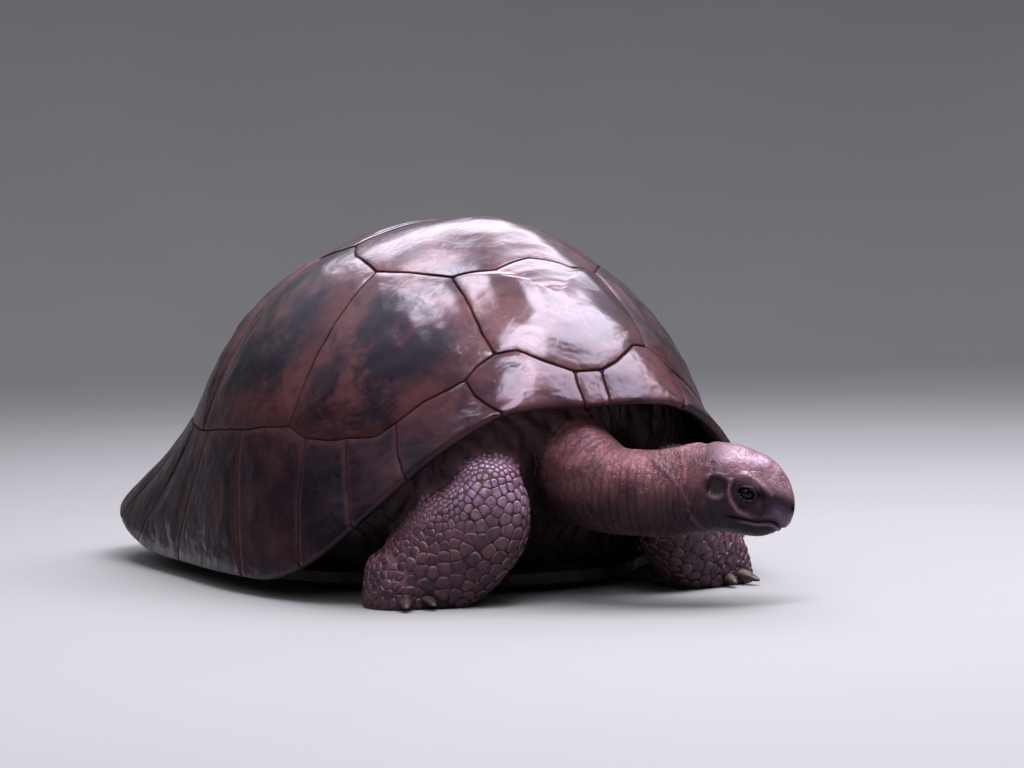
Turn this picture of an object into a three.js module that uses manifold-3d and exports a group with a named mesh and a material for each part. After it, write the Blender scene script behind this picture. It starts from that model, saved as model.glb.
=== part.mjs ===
// Giant tortoise of the Aldabra kind, an adult at rest: it lies on its plastron with the forelegs
// folded, the elbows forward, and holds its head low and turned to its left.
// Millimetres. -Y is forward, +X is the animal's left, +Z is up, and the ground is z = 0.
// The origin is on the flat underside of the plastron, under the middle of the shell.

import * as THREE from 'three';
import { mergeVertices } from 'three/addons/utils/BufferGeometryUtils.js';
import Module from 'manifold-3d';

const wasm = await Module();
wasm.setup();

// ---------------------------------------------------------------- driving dimensions

const GAP = 0.4;                  // clear space between two nodes that touch

const SHELL = {
  halfLength: 560,                // rim, nuchal edge to supracaudal edge
  halfWidth: 405,
  height: 546,                    // top of the dome above the ground
  apexY: -120,                    // the highest point lies forward of the middle
  broadBehind: 0.03,              // the rim is this much broader behind than in front
  frontSquareness: 2.75,          // superellipse exponents of the rim
  rearSquareness: 3.6,
  domeFront: 538,                 // half lengths and width of the dome inside the flared rim
  domeRear: 420,
  domeHalfWidth: 387,
  domeSquareness: 2.2,
  flareReach: 0.12,               // how far up the side the flare of the rim dies out
  cornerFlare: 36,                // the rim spreads this much more at its rear corners
  cornerAngle: 133,
  cornerSpread: 31,
  frontRimZ: 281,
  sideRimZ: 28,
  cornerRimZ: 88,
  rearRimZ: 116,
  frontFullness: 1.65,            // exponents of the dome's upright sections
  sideFullness: 2.13,
  rearFullness: 2.06,
  thickness: 15,
  lip: 13,
  seamDepth: 2.5,                 // the seams lie this deep under the plain dome
  seamHalfWidth: 7,
  plateRise: 1.5,
};

const HEAD = {
  back: [97, -660, 178],          // middle of the joint with the neck
  turn: 60,                       // degrees to the animal's left
  dip: 15,                        // degrees downwards
  length: 143,
};

const COLOURS = {
  shell: 0x4a3038,
  plastron: 0x5a4a3e,
  skin: 0x74585a,
  scales: 0x5c4650,
  eye: 0x120e10,
};

// ---------------------------------------------------------------- small tools

const RAD = Math.PI / 180;

function smooth(a, b, x) {
  const k = Math.min(1, Math.max(0, (x - a) / (b - a)));
  return k * k * (3 - 2 * k);
}

function mix(a, b, k) {
  return a + (b - a) * k;
}

function power(x, exponent) {
  return Math.sign(x) * Math.abs(x) ** exponent;
}

function vec(x, y, z) {
  return new THREE.Vector3(x, y, z);
}

/** A closed solid from points and triangles, joined where points coincide. */
function solidOf(points, triangles) {
  const geometry = new THREE.BufferGeometry();
  const places = points.flatMap((p) => [p.x, p.y, p.z]);
  geometry.setAttribute('position', new THREE.Float32BufferAttribute(places, 3));
  geometry.setIndex(triangles.flat());
  return solidFromGeometry(geometry);
}

function solidFromGeometry(source) {
  const bare = source.clone();
  bare.deleteAttribute('normal');
  bare.deleteAttribute('uv');
  const geometry = mergeVertices(bare, 1e-3);
  const mesh = new wasm.Mesh({
    numProp: 3,
    vertProperties: new Float32Array(geometry.attributes.position.array),
    triVerts: new Uint32Array(geometry.index.array),
  });
  return new wasm.Manifold(mesh);
}

/** The largest closed surface of a solid: what a cut leaves over is dropped. */
function largest(solid) {
  const pieces = solid.decompose();
  pieces.sort((a, b) => b.volume() - a.volume());
  return pieces[0];
}

/** The same solid with its surface moved outwards, so that a neighbour cut by it stays clear. */
function grown(solid, distance) {
  const { vertProperties, triVerts, numProp } = solid.getMesh();
  const geometry = new THREE.BufferGeometry();
  const count = vertProperties.length / numProp;
  const positions = new Float32Array(count * 3);
  for (let i = 0; i < count; i += 1) {
    for (let k = 0; k < 3; k += 1) positions[3 * i + k] = vertProperties[numProp * i + k];
  }
  geometry.setAttribute('position', new THREE.BufferAttribute(positions, 3));
  geometry.setIndex(new THREE.BufferAttribute(new Uint32Array(triVerts), 1));
  geometry.computeVertexNormals();
  const normal = geometry.attributes.normal;
  for (let i = 0; i < count; i += 1) {
    positions[3 * i] += normal.getX(i) * distance;
    positions[3 * i + 1] += normal.getY(i) * distance;
    positions[3 * i + 2] += normal.getZ(i) * distance;
  }
  const mesh = new wasm.Mesh({ numProp: 3, vertProperties: positions, triVerts: new Uint32Array(triVerts) });
  return new wasm.Manifold(mesh);
}

/** What is left of a solid beside its neighbours, with the gap. */
function without(solid, ...others) {
  return largest(others.reduce((rest, other) => rest.subtract(grown(other, GAP)), solid));
}

/** A block that reaches from one height to another, wide enough to cut any piece. */
function slab(zLow, zHigh) {
  const block = new THREE.BoxGeometry(4000, 4000, zHigh - zLow);
  block.translate(0, 0, (zLow + zHigh) / 2);
  return solidFromGeometry(block);
}

const underGround = slab(-500, 0);

/** Cuts a piece off level with the ground, so that it rests on a flat. */
function grounded(solid) {
  return largest(solid.subtract(underGround));
}

/** The middle of a loft's section, and the directions across it, up it and along the row. */
function sectionFrame(sections, i, upward) {
  const s = sections[i];
  const before = vec(...sections[Math.max(0, i - 1)].at);
  const after = vec(...sections[Math.min(sections.length - 1, i + 1)].at);
  const tangent = s.normal ? vec(...s.normal).normalize() : after.sub(before).normalize();
  const across = tangent.clone().cross(upward).normalize();
  return { centre: vec(...s.at), across, upDir: across.clone().cross(tangent).normalize(), tangent };
}

/**
 * A closed body through a row of cross-sections. Each section has its middle `at`, its `wide` half
 * width, its half heights `up` and `down`, and its squareness. Sections stand square to the path,
 * or to `normal` where one is given, and an end with a `dome` is rounded off.
 */
function loft(sections, { sides = 20, upward = vec(0, 0, 1) } = {}) {
  const points = [];
  const rings = [];
  const ring = ({ centre, across, upDir, tangent }, s, scale, push) => {
    const start = points.length;
    for (let i = 0; i < sides; i += 1) {
      const angle = (2 * Math.PI * i) / sides;
      const e = 2 / (s.squareness ?? 2.2);
      const u = power(Math.cos(angle), e) * s.wide * scale;
      const v = power(Math.sin(angle), e) * (Math.sin(angle) > 0 ? s.up : s.down) * scale;
      const place = centre.clone().addScaledVector(across, u).addScaledVector(upDir, v);
      points.push(place.addScaledVector(tangent, push));
    }
    rings.push(start);
  };
  sections.forEach((s, i) => {
    const frame = sectionFrame(sections, i, upward);
    const end = (s.dome ?? 0) * Math.min(s.wide, s.up, s.down);
    if (i === 0 && end) {
      ring(frame, s, 0.45, -0.9 * end);
      ring(frame, s, 0.8, -0.6 * end);
    }
    ring(frame, s, 1, 0);
    if (i === sections.length - 1 && end) {
      ring(frame, s, 0.8, 0.6 * end);
      ring(frame, s, 0.45, 0.9 * end);
    }
  });
  const triangles = [];
  for (let r = 0; r + 1 < rings.length; r += 1) {
    for (let i = 0; i < sides; i += 1) {
      const j = (i + 1) % sides;
      const [a, b, c, d] = [rings[r] + i, rings[r] + j, rings[r + 1] + i, rings[r + 1] + j];
      triangles.push([a, b, d], [a, d, c]);
    }
  }
  const cap = (start, flip) => {
    const middle = vec(0, 0, 0);
    for (let i = 0; i < sides; i += 1) middle.add(points[start + i]);
    points.push(middle.divideScalar(sides));
    const top = points.length - 1;
    for (let i = 0; i < sides; i += 1) {
      const j = (i + 1) % sides;
      triangles.push(flip ? [top, start + i, start + j] : [top, start + j, start + i]);
    }
  };
  cap(rings[0], false);
  cap(rings[rings.length - 1], true);
  return outward(points, triangles);
}

/** Turns the triangles of a closed mesh so that its faces point out. */
function outward(points, triangles) {
  let volume = 0;
  for (const [a, b, c] of triangles) volume += points[a].dot(points[b].clone().cross(points[c]));
  return solidOf(points, volume > 0 ? triangles : triangles.map(([a, b, c]) => [a, c, b]));
}

/** A smooth run of sections through a few given ones. */
function refined(sections, steps) {
  const curve = new THREE.CatmullRomCurve3(sections.map((s) => vec(...s.at)), false, 'centripetal');
  const out = [];
  for (let i = 0; i <= steps * (sections.length - 1); i += 1) {
    const k = i / steps;
    const low = Math.min(sections.length - 2, Math.floor(k));
    const f = smooth(0, 1, k - low) * 0.5 + (k - low) * 0.5;
    const [a, b] = [sections[low], sections[low + 1]];
    const point = curve.getPoint(k / (sections.length - 1));
    const section = { at: point.toArray() };
    for (const name of ['wide', 'up', 'down', 'squareness']) {
      section[name] = mix(a[name] ?? 2.2, b[name] ?? 2.2, f);
    }
    out.push(section);
  }
  Object.assign(out[0], { dome: sections[0].dome, normal: sections[0].normal });
  const end = sections[sections.length - 1];
  Object.assign(out[out.length - 1], { dome: end.dome, normal: end.normal });
  return out;
}

/** A ball or an egg, turned by a quaternion. */
function ball(centre, radii, { turn = new THREE.Quaternion(), across = 16, along = 10 } = {}) {
  const geometry = new THREE.SphereGeometry(1, across, along);
  geometry.scale(...radii);
  geometry.applyQuaternion(turn);
  geometry.translate(centre.x, centre.y, centre.z);
  return solidFromGeometry(geometry);
}

function mirrored(sections) {
  return sections.map((s) => ({ ...s, at: [-s.at[0], s.at[1], s.at[2]] }));
}

// ---------------------------------------------------------------- the dome of the shell
// A place on the shell is (angle, height): the angle runs round from the front, 0, over the
// animal's left, 90, to the rear, 180, and the height from the rim, 0, to the top, 1.

function oval(angle, halfLength, halfWidth, squareness) {
  const e = 2 / squareness;
  return [halfWidth * power(Math.sin(angle), e), -halfLength * power(Math.cos(angle), e)];
}

function rimHeight(turn) {
  const { frontRimZ, sideRimZ, cornerRimZ, rearRimZ } = SHELL;
  return frontRimZ + (sideRimZ - frontRimZ) * smooth(7 * RAD, 75 * RAD, turn)
    + (cornerRimZ - sideRimZ) * smooth(95 * RAD, 135 * RAD, turn)
    + (rearRimZ - cornerRimZ) * smooth(140 * RAD, 178 * RAD, turn);
}

function domePoint(angle, height) {
  const turn = Math.abs(angle);
  const broad = 1 - SHELL.broadBehind * Math.cos(angle);
  const rimSquareness = mix(SHELL.frontSquareness, SHELL.rearSquareness, smooth(1.2, 2, turn));
  const [ovalX, ovalY] = oval(angle, SHELL.halfLength, SHELL.halfWidth, rimSquareness);
  const fromCorner = (turn / RAD - SHELL.cornerAngle) / SHELL.cornerSpread;
  const corner = SHELL.cornerFlare * Math.exp(-(fromCorner ** 2));
  const [rimX, rimY] = [ovalX + corner * Math.sin(angle), ovalY - corner * Math.cos(angle)];
  const domeLength = mix(SHELL.domeFront, SHELL.domeRear, smooth(1.2, 1.9, turn));
  const [domeX, domeY] = oval(angle, domeLength, SHELL.domeHalfWidth, SHELL.domeSquareness);
  const fullness = SHELL.frontFullness
    + (SHELL.sideFullness - SHELL.frontFullness) * smooth(20 * RAD, 80 * RAD, turn)
    + (SHELL.rearFullness - SHELL.sideFullness) * smooth(105 * RAD, 170 * RAD, turn);
  const n = mix(2, fullness, smooth(0, 0.4, 1 - height));
  const out = Math.max(0, Math.sin((1 - height) * Math.PI / 2)) ** (2 / n);
  const up = Math.max(0, Math.cos((1 - height) * Math.PI / 2)) ** (2 / n);
  const flare = Math.exp(-((height / SHELL.flareReach) ** 1.3));
  const low = rimHeight(turn);
  return vec(
    broad * (domeX * out + (rimX - domeX) * flare),
    SHELL.apexY + (domeY - SHELL.apexY) * out + (rimY - domeY) * flare,
    low + (SHELL.height - low) * up,
  );
}

/** The dome on the unit disc, which stays smooth over the top. */
function discPoint(a, b) {
  return domePoint(Math.atan2(a, -b), Math.max(0, 1 - Math.hypot(a, b)));
}

function discNormal(a, b) {
  const step = 0.004;
  const shrink = Math.min(1, (1 - 2 * step) / Math.hypot(a, b));
  const [p, q] = [a * shrink, b * shrink];
  const alongA = discPoint(p + step, q).sub(discPoint(p - step, q));
  const alongB = discPoint(p, q + step).sub(discPoint(p, q - step));
  return alongA.cross(alongB).normalize();
}

function raised(a, b, lift) {
  return discPoint(a, b).addScaledVector(discNormal(a, b), lift);
}

function toDisc([degrees, height]) {
  const angle = degrees * RAD;
  return [(1 - height) * Math.sin(angle), -(1 - height) * Math.cos(angle)];
}

// ---------------------------------------------------------------- the plan of the seams
// Corners and bends of the seams on the animal's left, as [degrees, height]; the right mirrors it.

const CORNERS = {
  nuchalLow: [0.9, 0], nuchalTop: [1.9, 0.145],
  v1a: [8, 0.195], v1b: [13, 0.24], v1Corner: [18, 0.25],
  v1c: [20.5, 0.33], v1d: [23.5, 0.44], v12: [29.5, 0.56], v12Bend: [14, 0.545],
  v2a: [40.8, 0.6], v2b: [51.6, 0.625], v2Side: [61.3, 0.635], v2c: [80, 0.7], v23: [93, 0.745],
  v3Side: [113, 0.68], v34: [140, 0.66], v4Side: [148, 0.53], v45: [162, 0.4],
  v5a: [159.5, 0.27], v5Side: [157, 0.16], tailTop: [171, 0.135], tailLow: [165, 0],
  c12a: [64.2, 0.53], c12b: [66.2, 0.42], c12c: [67.6, 0.32], c12Low: [68.4, 0.262],
  c23a: [107, 0.46], c23Low: [99.6, 0.232], c34a: [137, 0.37], c34Low: [124, 0.212],
  m1Bend: [22.4, 0.23], m12: [24.3, 0.203], m12a: [22.2, 0.14], m12b: [17.7, 0.06], m12Low: [14.2, 0],
  m2Bend: [33.7, 0.205], m23: [39.9, 0.19], m23a: [38.4, 0.1], m23Low: [35, 0],
  m3Bend: [44, 0.182], m34: [52, 0.208], m34a: [50, 0.1], m34Low: [47.8, 0],
  m45: [62.8, 0.232], m45a: [62.6, 0.12], m45Low: [61.6, 0],
  m56: [83, 0.248], m56Low: [79, 0], m67: [96, 0.236], m67Low: [92.5, 0],
  m78: [109, 0.225], m78Low: [106, 0], m89: [120, 0.215], m89Low: [119, 0],
  m910: [136, 0.195], m910Low: [132.5, 0], m1011: [150, 0.172], m1011Low: [147, 0],
};

const MIDDLES = { mid12: [0, 0.59], mid23: [180, 0.952], mid34: [180, 0.722], mid45: [180, 0.426] };

// Plates that cross the middle: their left border from front to rear, between two middle points.
const MIDDLE_PLATES = {
  nuchal: { left: 'nuchalLow nuchalTop', bulge: 1 },
  vertebral_1: { left: 'nuchalTop v1a v1b v1Corner v1c v1d v12 v12Bend', rear: 'mid12', bulge: 7 },
  vertebral_2: { front: 'mid12', left: 'v12Bend v12 v2a v2b v2Side v2c v23', rear: 'mid23', bulge: 5 },
  vertebral_3: { front: 'mid23', left: 'v23 v3Side v34', rear: 'mid34', bulge: 6 },
  vertebral_4: { front: 'mid34', left: 'v34 v4Side v45', rear: 'mid45', bulge: 6 },
  vertebral_5: { front: 'mid45', left: 'v45 v5a v5Side tailTop', bulge: 6 },
  supracaudal: { left: 'tailTop tailLow', bulge: 3 },
};

// Plates of each side, corner by corner.
const SIDE_PLATES = {
  costal_1: [
    'v1Corner v1c v1d v12 v2a v2b v2Side c12a c12b c12c c12Low m45 m34 m3Bend m23 m2Bend m12 m1Bend',
    9,
  ],
  costal_2: ['v2Side v2c v23 v3Side c23a c23Low m67 m56 c12Low c12c c12b c12a', 8],
  costal_3: ['v3Side v34 v4Side c34a c34Low m89 m78 c23Low c23a', 8],
  costal_4: ['v4Side v45 v5a v5Side m1011 m910 c34Low c34a', 7],
  marginal_1: ['nuchalLow nuchalTop v1a v1b v1Corner m1Bend m12 m12a m12b m12Low', 3],
  marginal_2: ['m12 m2Bend m23 m23a m23Low m12Low m12b m12a', 3],
  marginal_3: ['m23 m3Bend m34 m34a m34Low m23Low m23a', 3],
  marginal_4: ['m34 m45 m45a m45Low m34Low m34a', 3],
  marginal_5: ['m45 c12Low m56 m56Low m45Low m45a', 3],
  marginal_6: ['m56 m67 m67Low m56Low', 3],
  marginal_7: ['m67 c23Low m78 m78Low m67Low', 3],
  marginal_8: ['m78 m89 m89Low m78Low', 3],
  marginal_9: ['m89 c34Low m910 m910Low m89Low', 3],
  marginal_10: ['m910 m1011 m1011Low m910Low', 3],
  marginal_11: ['m1011 v5Side tailTop tailLow m1011Low', 3],
};

const SEAM_STEP = 45;              // spacing of the points along a seam

/** The points from one corner towards the next, the next one left out; the same from both ends. */
function edgePoints(from, to) {
  const length = domePoint(from[0] * RAD, from[1]).distanceTo(domePoint(to[0] * RAD, to[1]));
  const onRim = from[1] === 0 && to[1] === 0;
  const count = Math.max(1, Math.round(length / (onRim ? 30 : SEAM_STEP)));
  const low = Math.min(from[1], to[1]) < 0.45;
  let turn = to[0] - from[0];
  if (turn > 180) turn -= 360;
  if (turn < -180) turn += 360;
  const [a, b] = [toDisc(from), toDisc(to)];
  const points = [];
  for (let i = 0; i < count; i += 1) {
    const k = i / count;
    if (low) points.push(toDisc([from[0] + turn * k, mix(from[1], to[1], k)]));
    else points.push([mix(a[0], b[0], k), mix(a[1], b[1], k)]);
  }
  return points;
}

function plateOutline(corners) {
  return corners.flatMap((corner, i) => edgePoints(corner, corners[(i + 1) % corners.length]));
}

function cornersOf(names, side) {
  return names.split(' ').map((name) => [CORNERS[name][0] * side, CORNERS[name][1]]);
}

function allPlates() {
  const plates = [];
  for (const { front, left, rear, bulge } of Object.values(MIDDLE_PLATES)) {
    const corners = [];
    if (front) corners.push(MIDDLES[front]);
    corners.push(...cornersOf(left, 1));
    if (rear) corners.push(MIDDLES[rear]);
    corners.push(...cornersOf(left, -1).reverse());
    plates.push({ outline: plateOutline(corners), bulge });
  }
  for (const [names, bulge] of Object.values(SIDE_PLATES)) {
    for (const side of [1, -1]) plates.push({ outline: plateOutline(cornersOf(names, side)), bulge });
  }
  return plates;
}

// ---------------------------------------------------------------- carapace

/** A place part of the way from a plate's border to its middle, both on the disc. */
function towards(point, centre, k) {
  const [r1, r2] = [Math.hypot(...point), Math.hypot(...centre)];
  if (Math.min(r1, r2) < 0.55) return [mix(point[0], centre[0], k), mix(point[1], centre[1], k)];
  const a1 = Math.atan2(point[0], -point[1]);
  let turn = Math.atan2(centre[0], -centre[1]) - a1;
  if (turn > Math.PI) turn -= 2 * Math.PI;
  if (turn < -Math.PI) turn += 2 * Math.PI;
  const [r, a] = [mix(r1, r2, k), a1 + turn * k];
  return [r * Math.sin(a), -r * Math.cos(a)];
}

function makeCarapace() {
  const points = [];
  const triangles = [];
  const rimPlaces = new Map();
  const add = (p) => points.push(p) - 1;
  for (const { outline, bulge } of allPlates()) {
    const centre = [0, 1].map((k) => outline.reduce((sum, p) => sum + p[k], 0) / outline.length);
    const middle = add(raised(...centre, SHELL.plateRise + bulge));
    const rings = [[], [], []];
    for (const place of outline) {
      const isRim = Math.hypot(...place) > 0.9999;
      const reach = discPoint(...place).distanceTo(discPoint(...centre));
      const edge = Math.min(0.45, SHELL.seamHalfWidth / reach);
      rings[0].push(add(raised(...place, isRim ? 0 : -SHELL.seamDepth)));
      rings[1].push(add(raised(...towards(place, centre, edge), isRim ? 0.5 : SHELL.plateRise)));
      rings[2].push(add(raised(...towards(place, centre, 0.55), SHELL.plateRise + bulge * 0.8)));
      if (isRim) {
        const key = Math.round(Math.atan2(place[0], -place[1]) * 1e4);
        rimPlaces.set(key, { angle: Math.atan2(place[0], -place[1]), place });
      }
    }
    const count = outline.length;
    const [x0, y0] = outline[0];
    let area = 0;
    outline.forEach(([x, y], i) => {
      const [nx, ny] = outline[(i + 1) % count];
      area += (x - x0) * (ny - y0) - (nx - x0) * (y - y0);
    });
    const face = (a, b, c) => triangles.push(area > 0 ? [a, b, c] : [a, c, b]);
    for (let i = 0; i < count; i += 1) {
      const j = (i + 1) % count;
      for (let r = 0; r < 2; r += 1) {
        face(rings[r][i], rings[r][j], rings[r + 1][j]);
        face(rings[r][i], rings[r + 1][j], rings[r + 1][i]);
      }
      face(rings[2][i], rings[2][j], middle);
    }
  }
  const rim = [...rimPlaces.values()].sort((a, b) => a.angle - b.angle);
  const levels = [0.02, 0.14, 0.4, 0.7];
  const rows = [rim.map(({ place }) => add(raised(...place, 0)))];
  for (const level of levels) {
    const depth = level < 0.05 ? SHELL.lip : SHELL.thickness;
    rows.push(rim.map(({ angle }) => add(raised(...toDisc([angle / RAD, level]), -depth))));
  }
  for (let r = 0; r + 1 < rows.length; r += 1) {
    rim.forEach((_, i) => {
      const j = (i + 1) % rim.length;
      triangles.push([rows[r][i], rows[r + 1][j], rows[r][j]], [rows[r][i], rows[r + 1][i], rows[r + 1][j]]);
    });
  }
  const top = add(raised(1e-6, 0, -SHELL.thickness));
  const last = rows[rows.length - 1];
  rim.forEach((_, i) => triangles.push([last[i], top, last[(i + 1) % rim.length]]));
  return { solid: outward(points, triangles), rimAngles: rim.map(({ angle }) => angle) };
}

// ---------------------------------------------------------------- plastron

const PLASTRON = {
  frontY: -420, rearY: 385, lobeWidth: 245, bridgeWidth: 384, bridgeFront: -235, bridgeRear: 190,
  flatShare: 0.8, thickness: 26, edgeLift: 14, bridgeLift: 26, seam: 5, seamDepth: 2.5,
};

function plastronHalfWidth(y) {
  const { frontY, rearY, lobeWidth, bridgeWidth, bridgeFront, bridgeRear } = PLASTRON;
  const middle = (frontY + rearY) / 2;
  const share = Math.abs((y - middle) / ((rearY - frontY) / 2));
  const lobe = lobeWidth * Math.max(0, 1 - share ** 2.6) ** (1 / 2.2);
  const bridge = smooth(bridgeFront - 70, bridgeFront + 50, y) * smooth(bridgeRear + 70, bridgeRear - 50, y);
  return lobe + (bridgeWidth - lobe) * bridge;
}

function makePlastron(carapace) {
  const { frontY, rearY, flatShare, thickness, edgeLift, bridgeLift, lobeWidth, bridgeWidth } = PLASTRON;
  const steps = 26;
  const outline = [];
  for (let i = 0; i <= steps; i += 1) {
    const k = (1 - Math.cos((Math.PI * i) / steps)) / 2;
    const y = mix(frontY, rearY, k);
    outline.push([i === 0 || i === steps ? 0 : plastronHalfWidth(y), y]);
  }
  for (let i = steps - 1; i > 0; i -= 1) outline.push([-outline[i][0], outline[i][1]]);
  const middleY = (frontY + rearY) / 2;
  const lift = (x) => edgeLift + (bridgeLift - edgeLift) * smooth(lobeWidth, bridgeWidth, Math.abs(x));
  const rows = [
    (x, y) => vec(Math.max(-250, Math.min(250, x * flatShare)), mix(middleY, y, 0.9), 0),
    (x, y) => vec(x, y, lift(x)),
    (x, y) => vec(x, y, lift(x) + thickness * 0.6),
    (x, y) => vec(x * 0.88, mix(middleY, y, 0.9), lift(x) + thickness),
  ];
  const points = rows.flatMap((row) => outline.map(([x, y]) => row(x, y)));
  const count = outline.length;
  const triangles = [];
  for (let r = 0; r + 1 < rows.length; r += 1) {
    for (let i = 0; i < count; i += 1) {
      const j = (i + 1) % count;
      const [a, b, c, d] = [r * count + i, r * count + j, (r + 1) * count + i, (r + 1) * count + j];
      triangles.push([a, b, d], [a, d, c]);
    }
  }
  points.push(vec(0, middleY, 0), vec(0, middleY, edgeLift + thickness));
  for (let i = 0; i < count; i += 1) {
    const j = (i + 1) % count;
    triangles.push([4 * count, j, i], [4 * count + 1, 3 * count + i, 3 * count + j]);
  }
  let solid = outward(points, triangles).subtract(grown(carapace, GAP));
  for (const seam of plastronSeams()) solid = solid.subtract(seam);
  return largest(solid);
}

/** The seams of the underside as thin grooves; what lies between them stands out as plates. */
function plastronSeams() {
  const crossings = [-350, -262, -160, 95, 205, 300];
  const grooves = [];
  const groove = (x0, y0, x1, y1) => {
    const length = Math.hypot(x1 - x0, y1 - y0) + PLASTRON.seam;
    const bar = new THREE.BoxGeometry(length, PLASTRON.seam, 2 * PLASTRON.seamDepth);
    bar.rotateZ(Math.atan2(y1 - y0, x1 - x0));
    bar.translate((x0 + x1) / 2, (y0 + y1) / 2, 0);
    grooves.push(solidFromGeometry(bar));
  };
  const wander = [[2, -400], [-6, -262], [8, -160], [22, -60], [22, 50], [-4, 95], [6, 205], [0, 372]];
  for (let i = 0; i + 1 < wander.length; i += 1) groove(...wander[i], ...wander[i + 1]);
  for (const y of crossings) {
    for (const side of [1, -1]) groove(0, y, side * 215, y + (y < 0 ? -18 : 22));
  }
  return grooves;
}

// ---------------------------------------------------------------- torso

const TORSO = {
  // How high up the inside of the shell the skin is held. The turned neck draws the chest forward
  // on the right and leaves a deep pocket on the left.
  rightHold: 0.1, leftHold: 0.27, sideHold: 0.14, rearHold: 0.2,
  rightSwell: 46, leftSwell: 8, rearSwell: 14,
  footFront: -405, footRear: 350, footWidth: 312, footZ: 44,
};

function makeTorso(rimAngles, carapace, plastron) {
  const angles = rimAngles.filter((_, i) => i % 3 === 0);
  const points = [];
  const row = (make) => angles.map((angle) => points.push(make(angle)) - 1);
  const inner = (angle, level) => raised(...toDisc([angle / RAD, level]), -SHELL.thickness * 0.4);
  const frontShare = (angle) => smooth(80 * RAD, 45 * RAD, Math.abs(angle));
  const rearShare = (angle) => smooth(110 * RAD, 150 * RAD, Math.abs(angle));
  const leftShare = (angle) => smooth(-12 * RAD, 20 * RAD, angle);
  const hold = (angle) => {
    const front = mix(TORSO.rightHold, TORSO.leftHold, leftShare(angle));
    return TORSO.sideHold + (front - TORSO.sideHold) * frontShare(angle)
      + (TORSO.rearHold - TORSO.sideHold) * rearShare(angle);
  };
  const swellOf = (angle) => mix(TORSO.rightSwell, TORSO.leftSwell, leftShare(angle)) * frontShare(angle)
    + TORSO.rearSwell * rearShare(angle);
  const foot = (angle) => {
    const reach = Math.abs(angle) < Math.PI / 2 ? -TORSO.footFront : TORSO.footRear;
    const [x, y] = oval(angle, reach, TORSO.footWidth, 2.4);
    return vec(x, y, TORSO.footZ);
  };
  const wall = (angle, k) => {
    const high = inner(angle, hold(angle));
    const low = foot(angle);
    const point = high.clone().lerp(low, k);
    const away = vec(low.x, low.y, 0).normalize();
    return point.addScaledVector(away, swellOf(angle) * Math.sin(Math.PI * k));
  };
  const rows = [
    row((angle) => inner(angle, 0.7)),
    row((angle) => inner(angle, 0.4)),
    row((angle) => inner(angle, hold(angle))),
    row((angle) => wall(angle, 0.3)),
    row((angle) => wall(angle, 0.65)),
    row(foot),
  ];
  const triangles = [];
  const count = angles.length;
  for (let r = 0; r + 1 < rows.length; r += 1) {
    for (let i = 0; i < count; i += 1) {
      const j = (i + 1) % count;
      triangles.push([rows[r][i], rows[r][j], rows[r + 1][j]], [rows[r][i], rows[r + 1][j], rows[r + 1][i]]);
    }
  }
  const top = points.push(raised(1e-6, 0, -SHELL.thickness * 0.4)) - 1;
  const low = points.push(vec(0, 0, TORSO.footZ)) - 1;
  for (let i = 0; i < count; i += 1) {
    const j = (i + 1) % count;
    triangles.push([top, rows[0][j], rows[0][i]], [low, rows[5][i], rows[5][j]]);
  }
  return without(outward(points, triangles), carapace, plastron);
}

// ---------------------------------------------------------------- neck and head

const headTurn = HEAD.turn * RAD;
const headDip = HEAD.dip * RAD;
const headForward = vec(
  Math.cos(headDip) * Math.sin(headTurn), -Math.cos(headDip) * Math.cos(headTurn), -Math.sin(headDip),
);
const headLeft = vec(Math.cos(headTurn), Math.sin(headTurn), 0);
const headUp = headForward.clone().cross(headLeft).normalize();
if (headUp.z < 0) headUp.negate();

/** A point of the head: mm forward of the joint, to its left and up. */
function headPoint(forward, left, up) {
  return vec(...HEAD.back).addScaledVector(headForward, forward)
    .addScaledVector(headLeft, left).addScaledVector(headUp, up);
}

const NECK = [
  { at: [0, -330, 200], wide: 86, up: 84, down: 92, squareness: 2.3 },
  { at: [-4, -410, 196], wide: 76, up: 80, down: 86, squareness: 2.3 },
  { at: [-10, -475, 186], wide: 66, up: 84, down: 76, squareness: 2.2 },
  { at: [-8, -532, 172], wide: 61, up: 76, down: 66, squareness: 2.2 },
  { at: [8, -582, 162], wide: 59, up: 60, down: 62, squareness: 2.2 },
  { at: [38, -623, 159], wide: 58, up: 58, down: 62, squareness: 2.2 },
  { at: [68, -645, 160], wide: 57, up: 58, down: 64, squareness: 2.2 },
];

function makeNeck(torso, carapace, head) {
  const joint = headPoint(3, 0, -18);
  const sections = refined([...NECK, {
    at: joint.toArray(), wide: 55, up: 64, down: 60, squareness: 2.2, normal: headForward.toArray(),
  }], 2);
  return without(loft(sections, { sides: 24 }), torso, carapace, head);
}

// Sections of the head: mm forward of the joint, half width, and the heights of crown and throat.
const HEAD_SECTIONS = [
  [0, 54, 46, -78], [10, 56, 53, -76], [28, 58, 57, -70], [48, 57, 59, -64], [66, 53, 58, -61],
  [84, 47, 54.5, -60], [100, 41, 49, -58.5], [113, 35, 41, -54], [124, 29, 31.5, -47],
  [133, 22.5, 19.5, -39], [139.5, 15.5, 7, -33], [143, 8, -3, -25],
];
const HEAD_SQUARENESS = 2.35;
const HEAD_STATIONS = [0, 14, 28, 40, 49, 57, 67, 77, 88, 98, 108, 117, 125, 131, 136, 140, 143];
const HEAD_ROWS = { above: 10, below: 3 };   // rows of faces on each side of the line of the mouth

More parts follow.
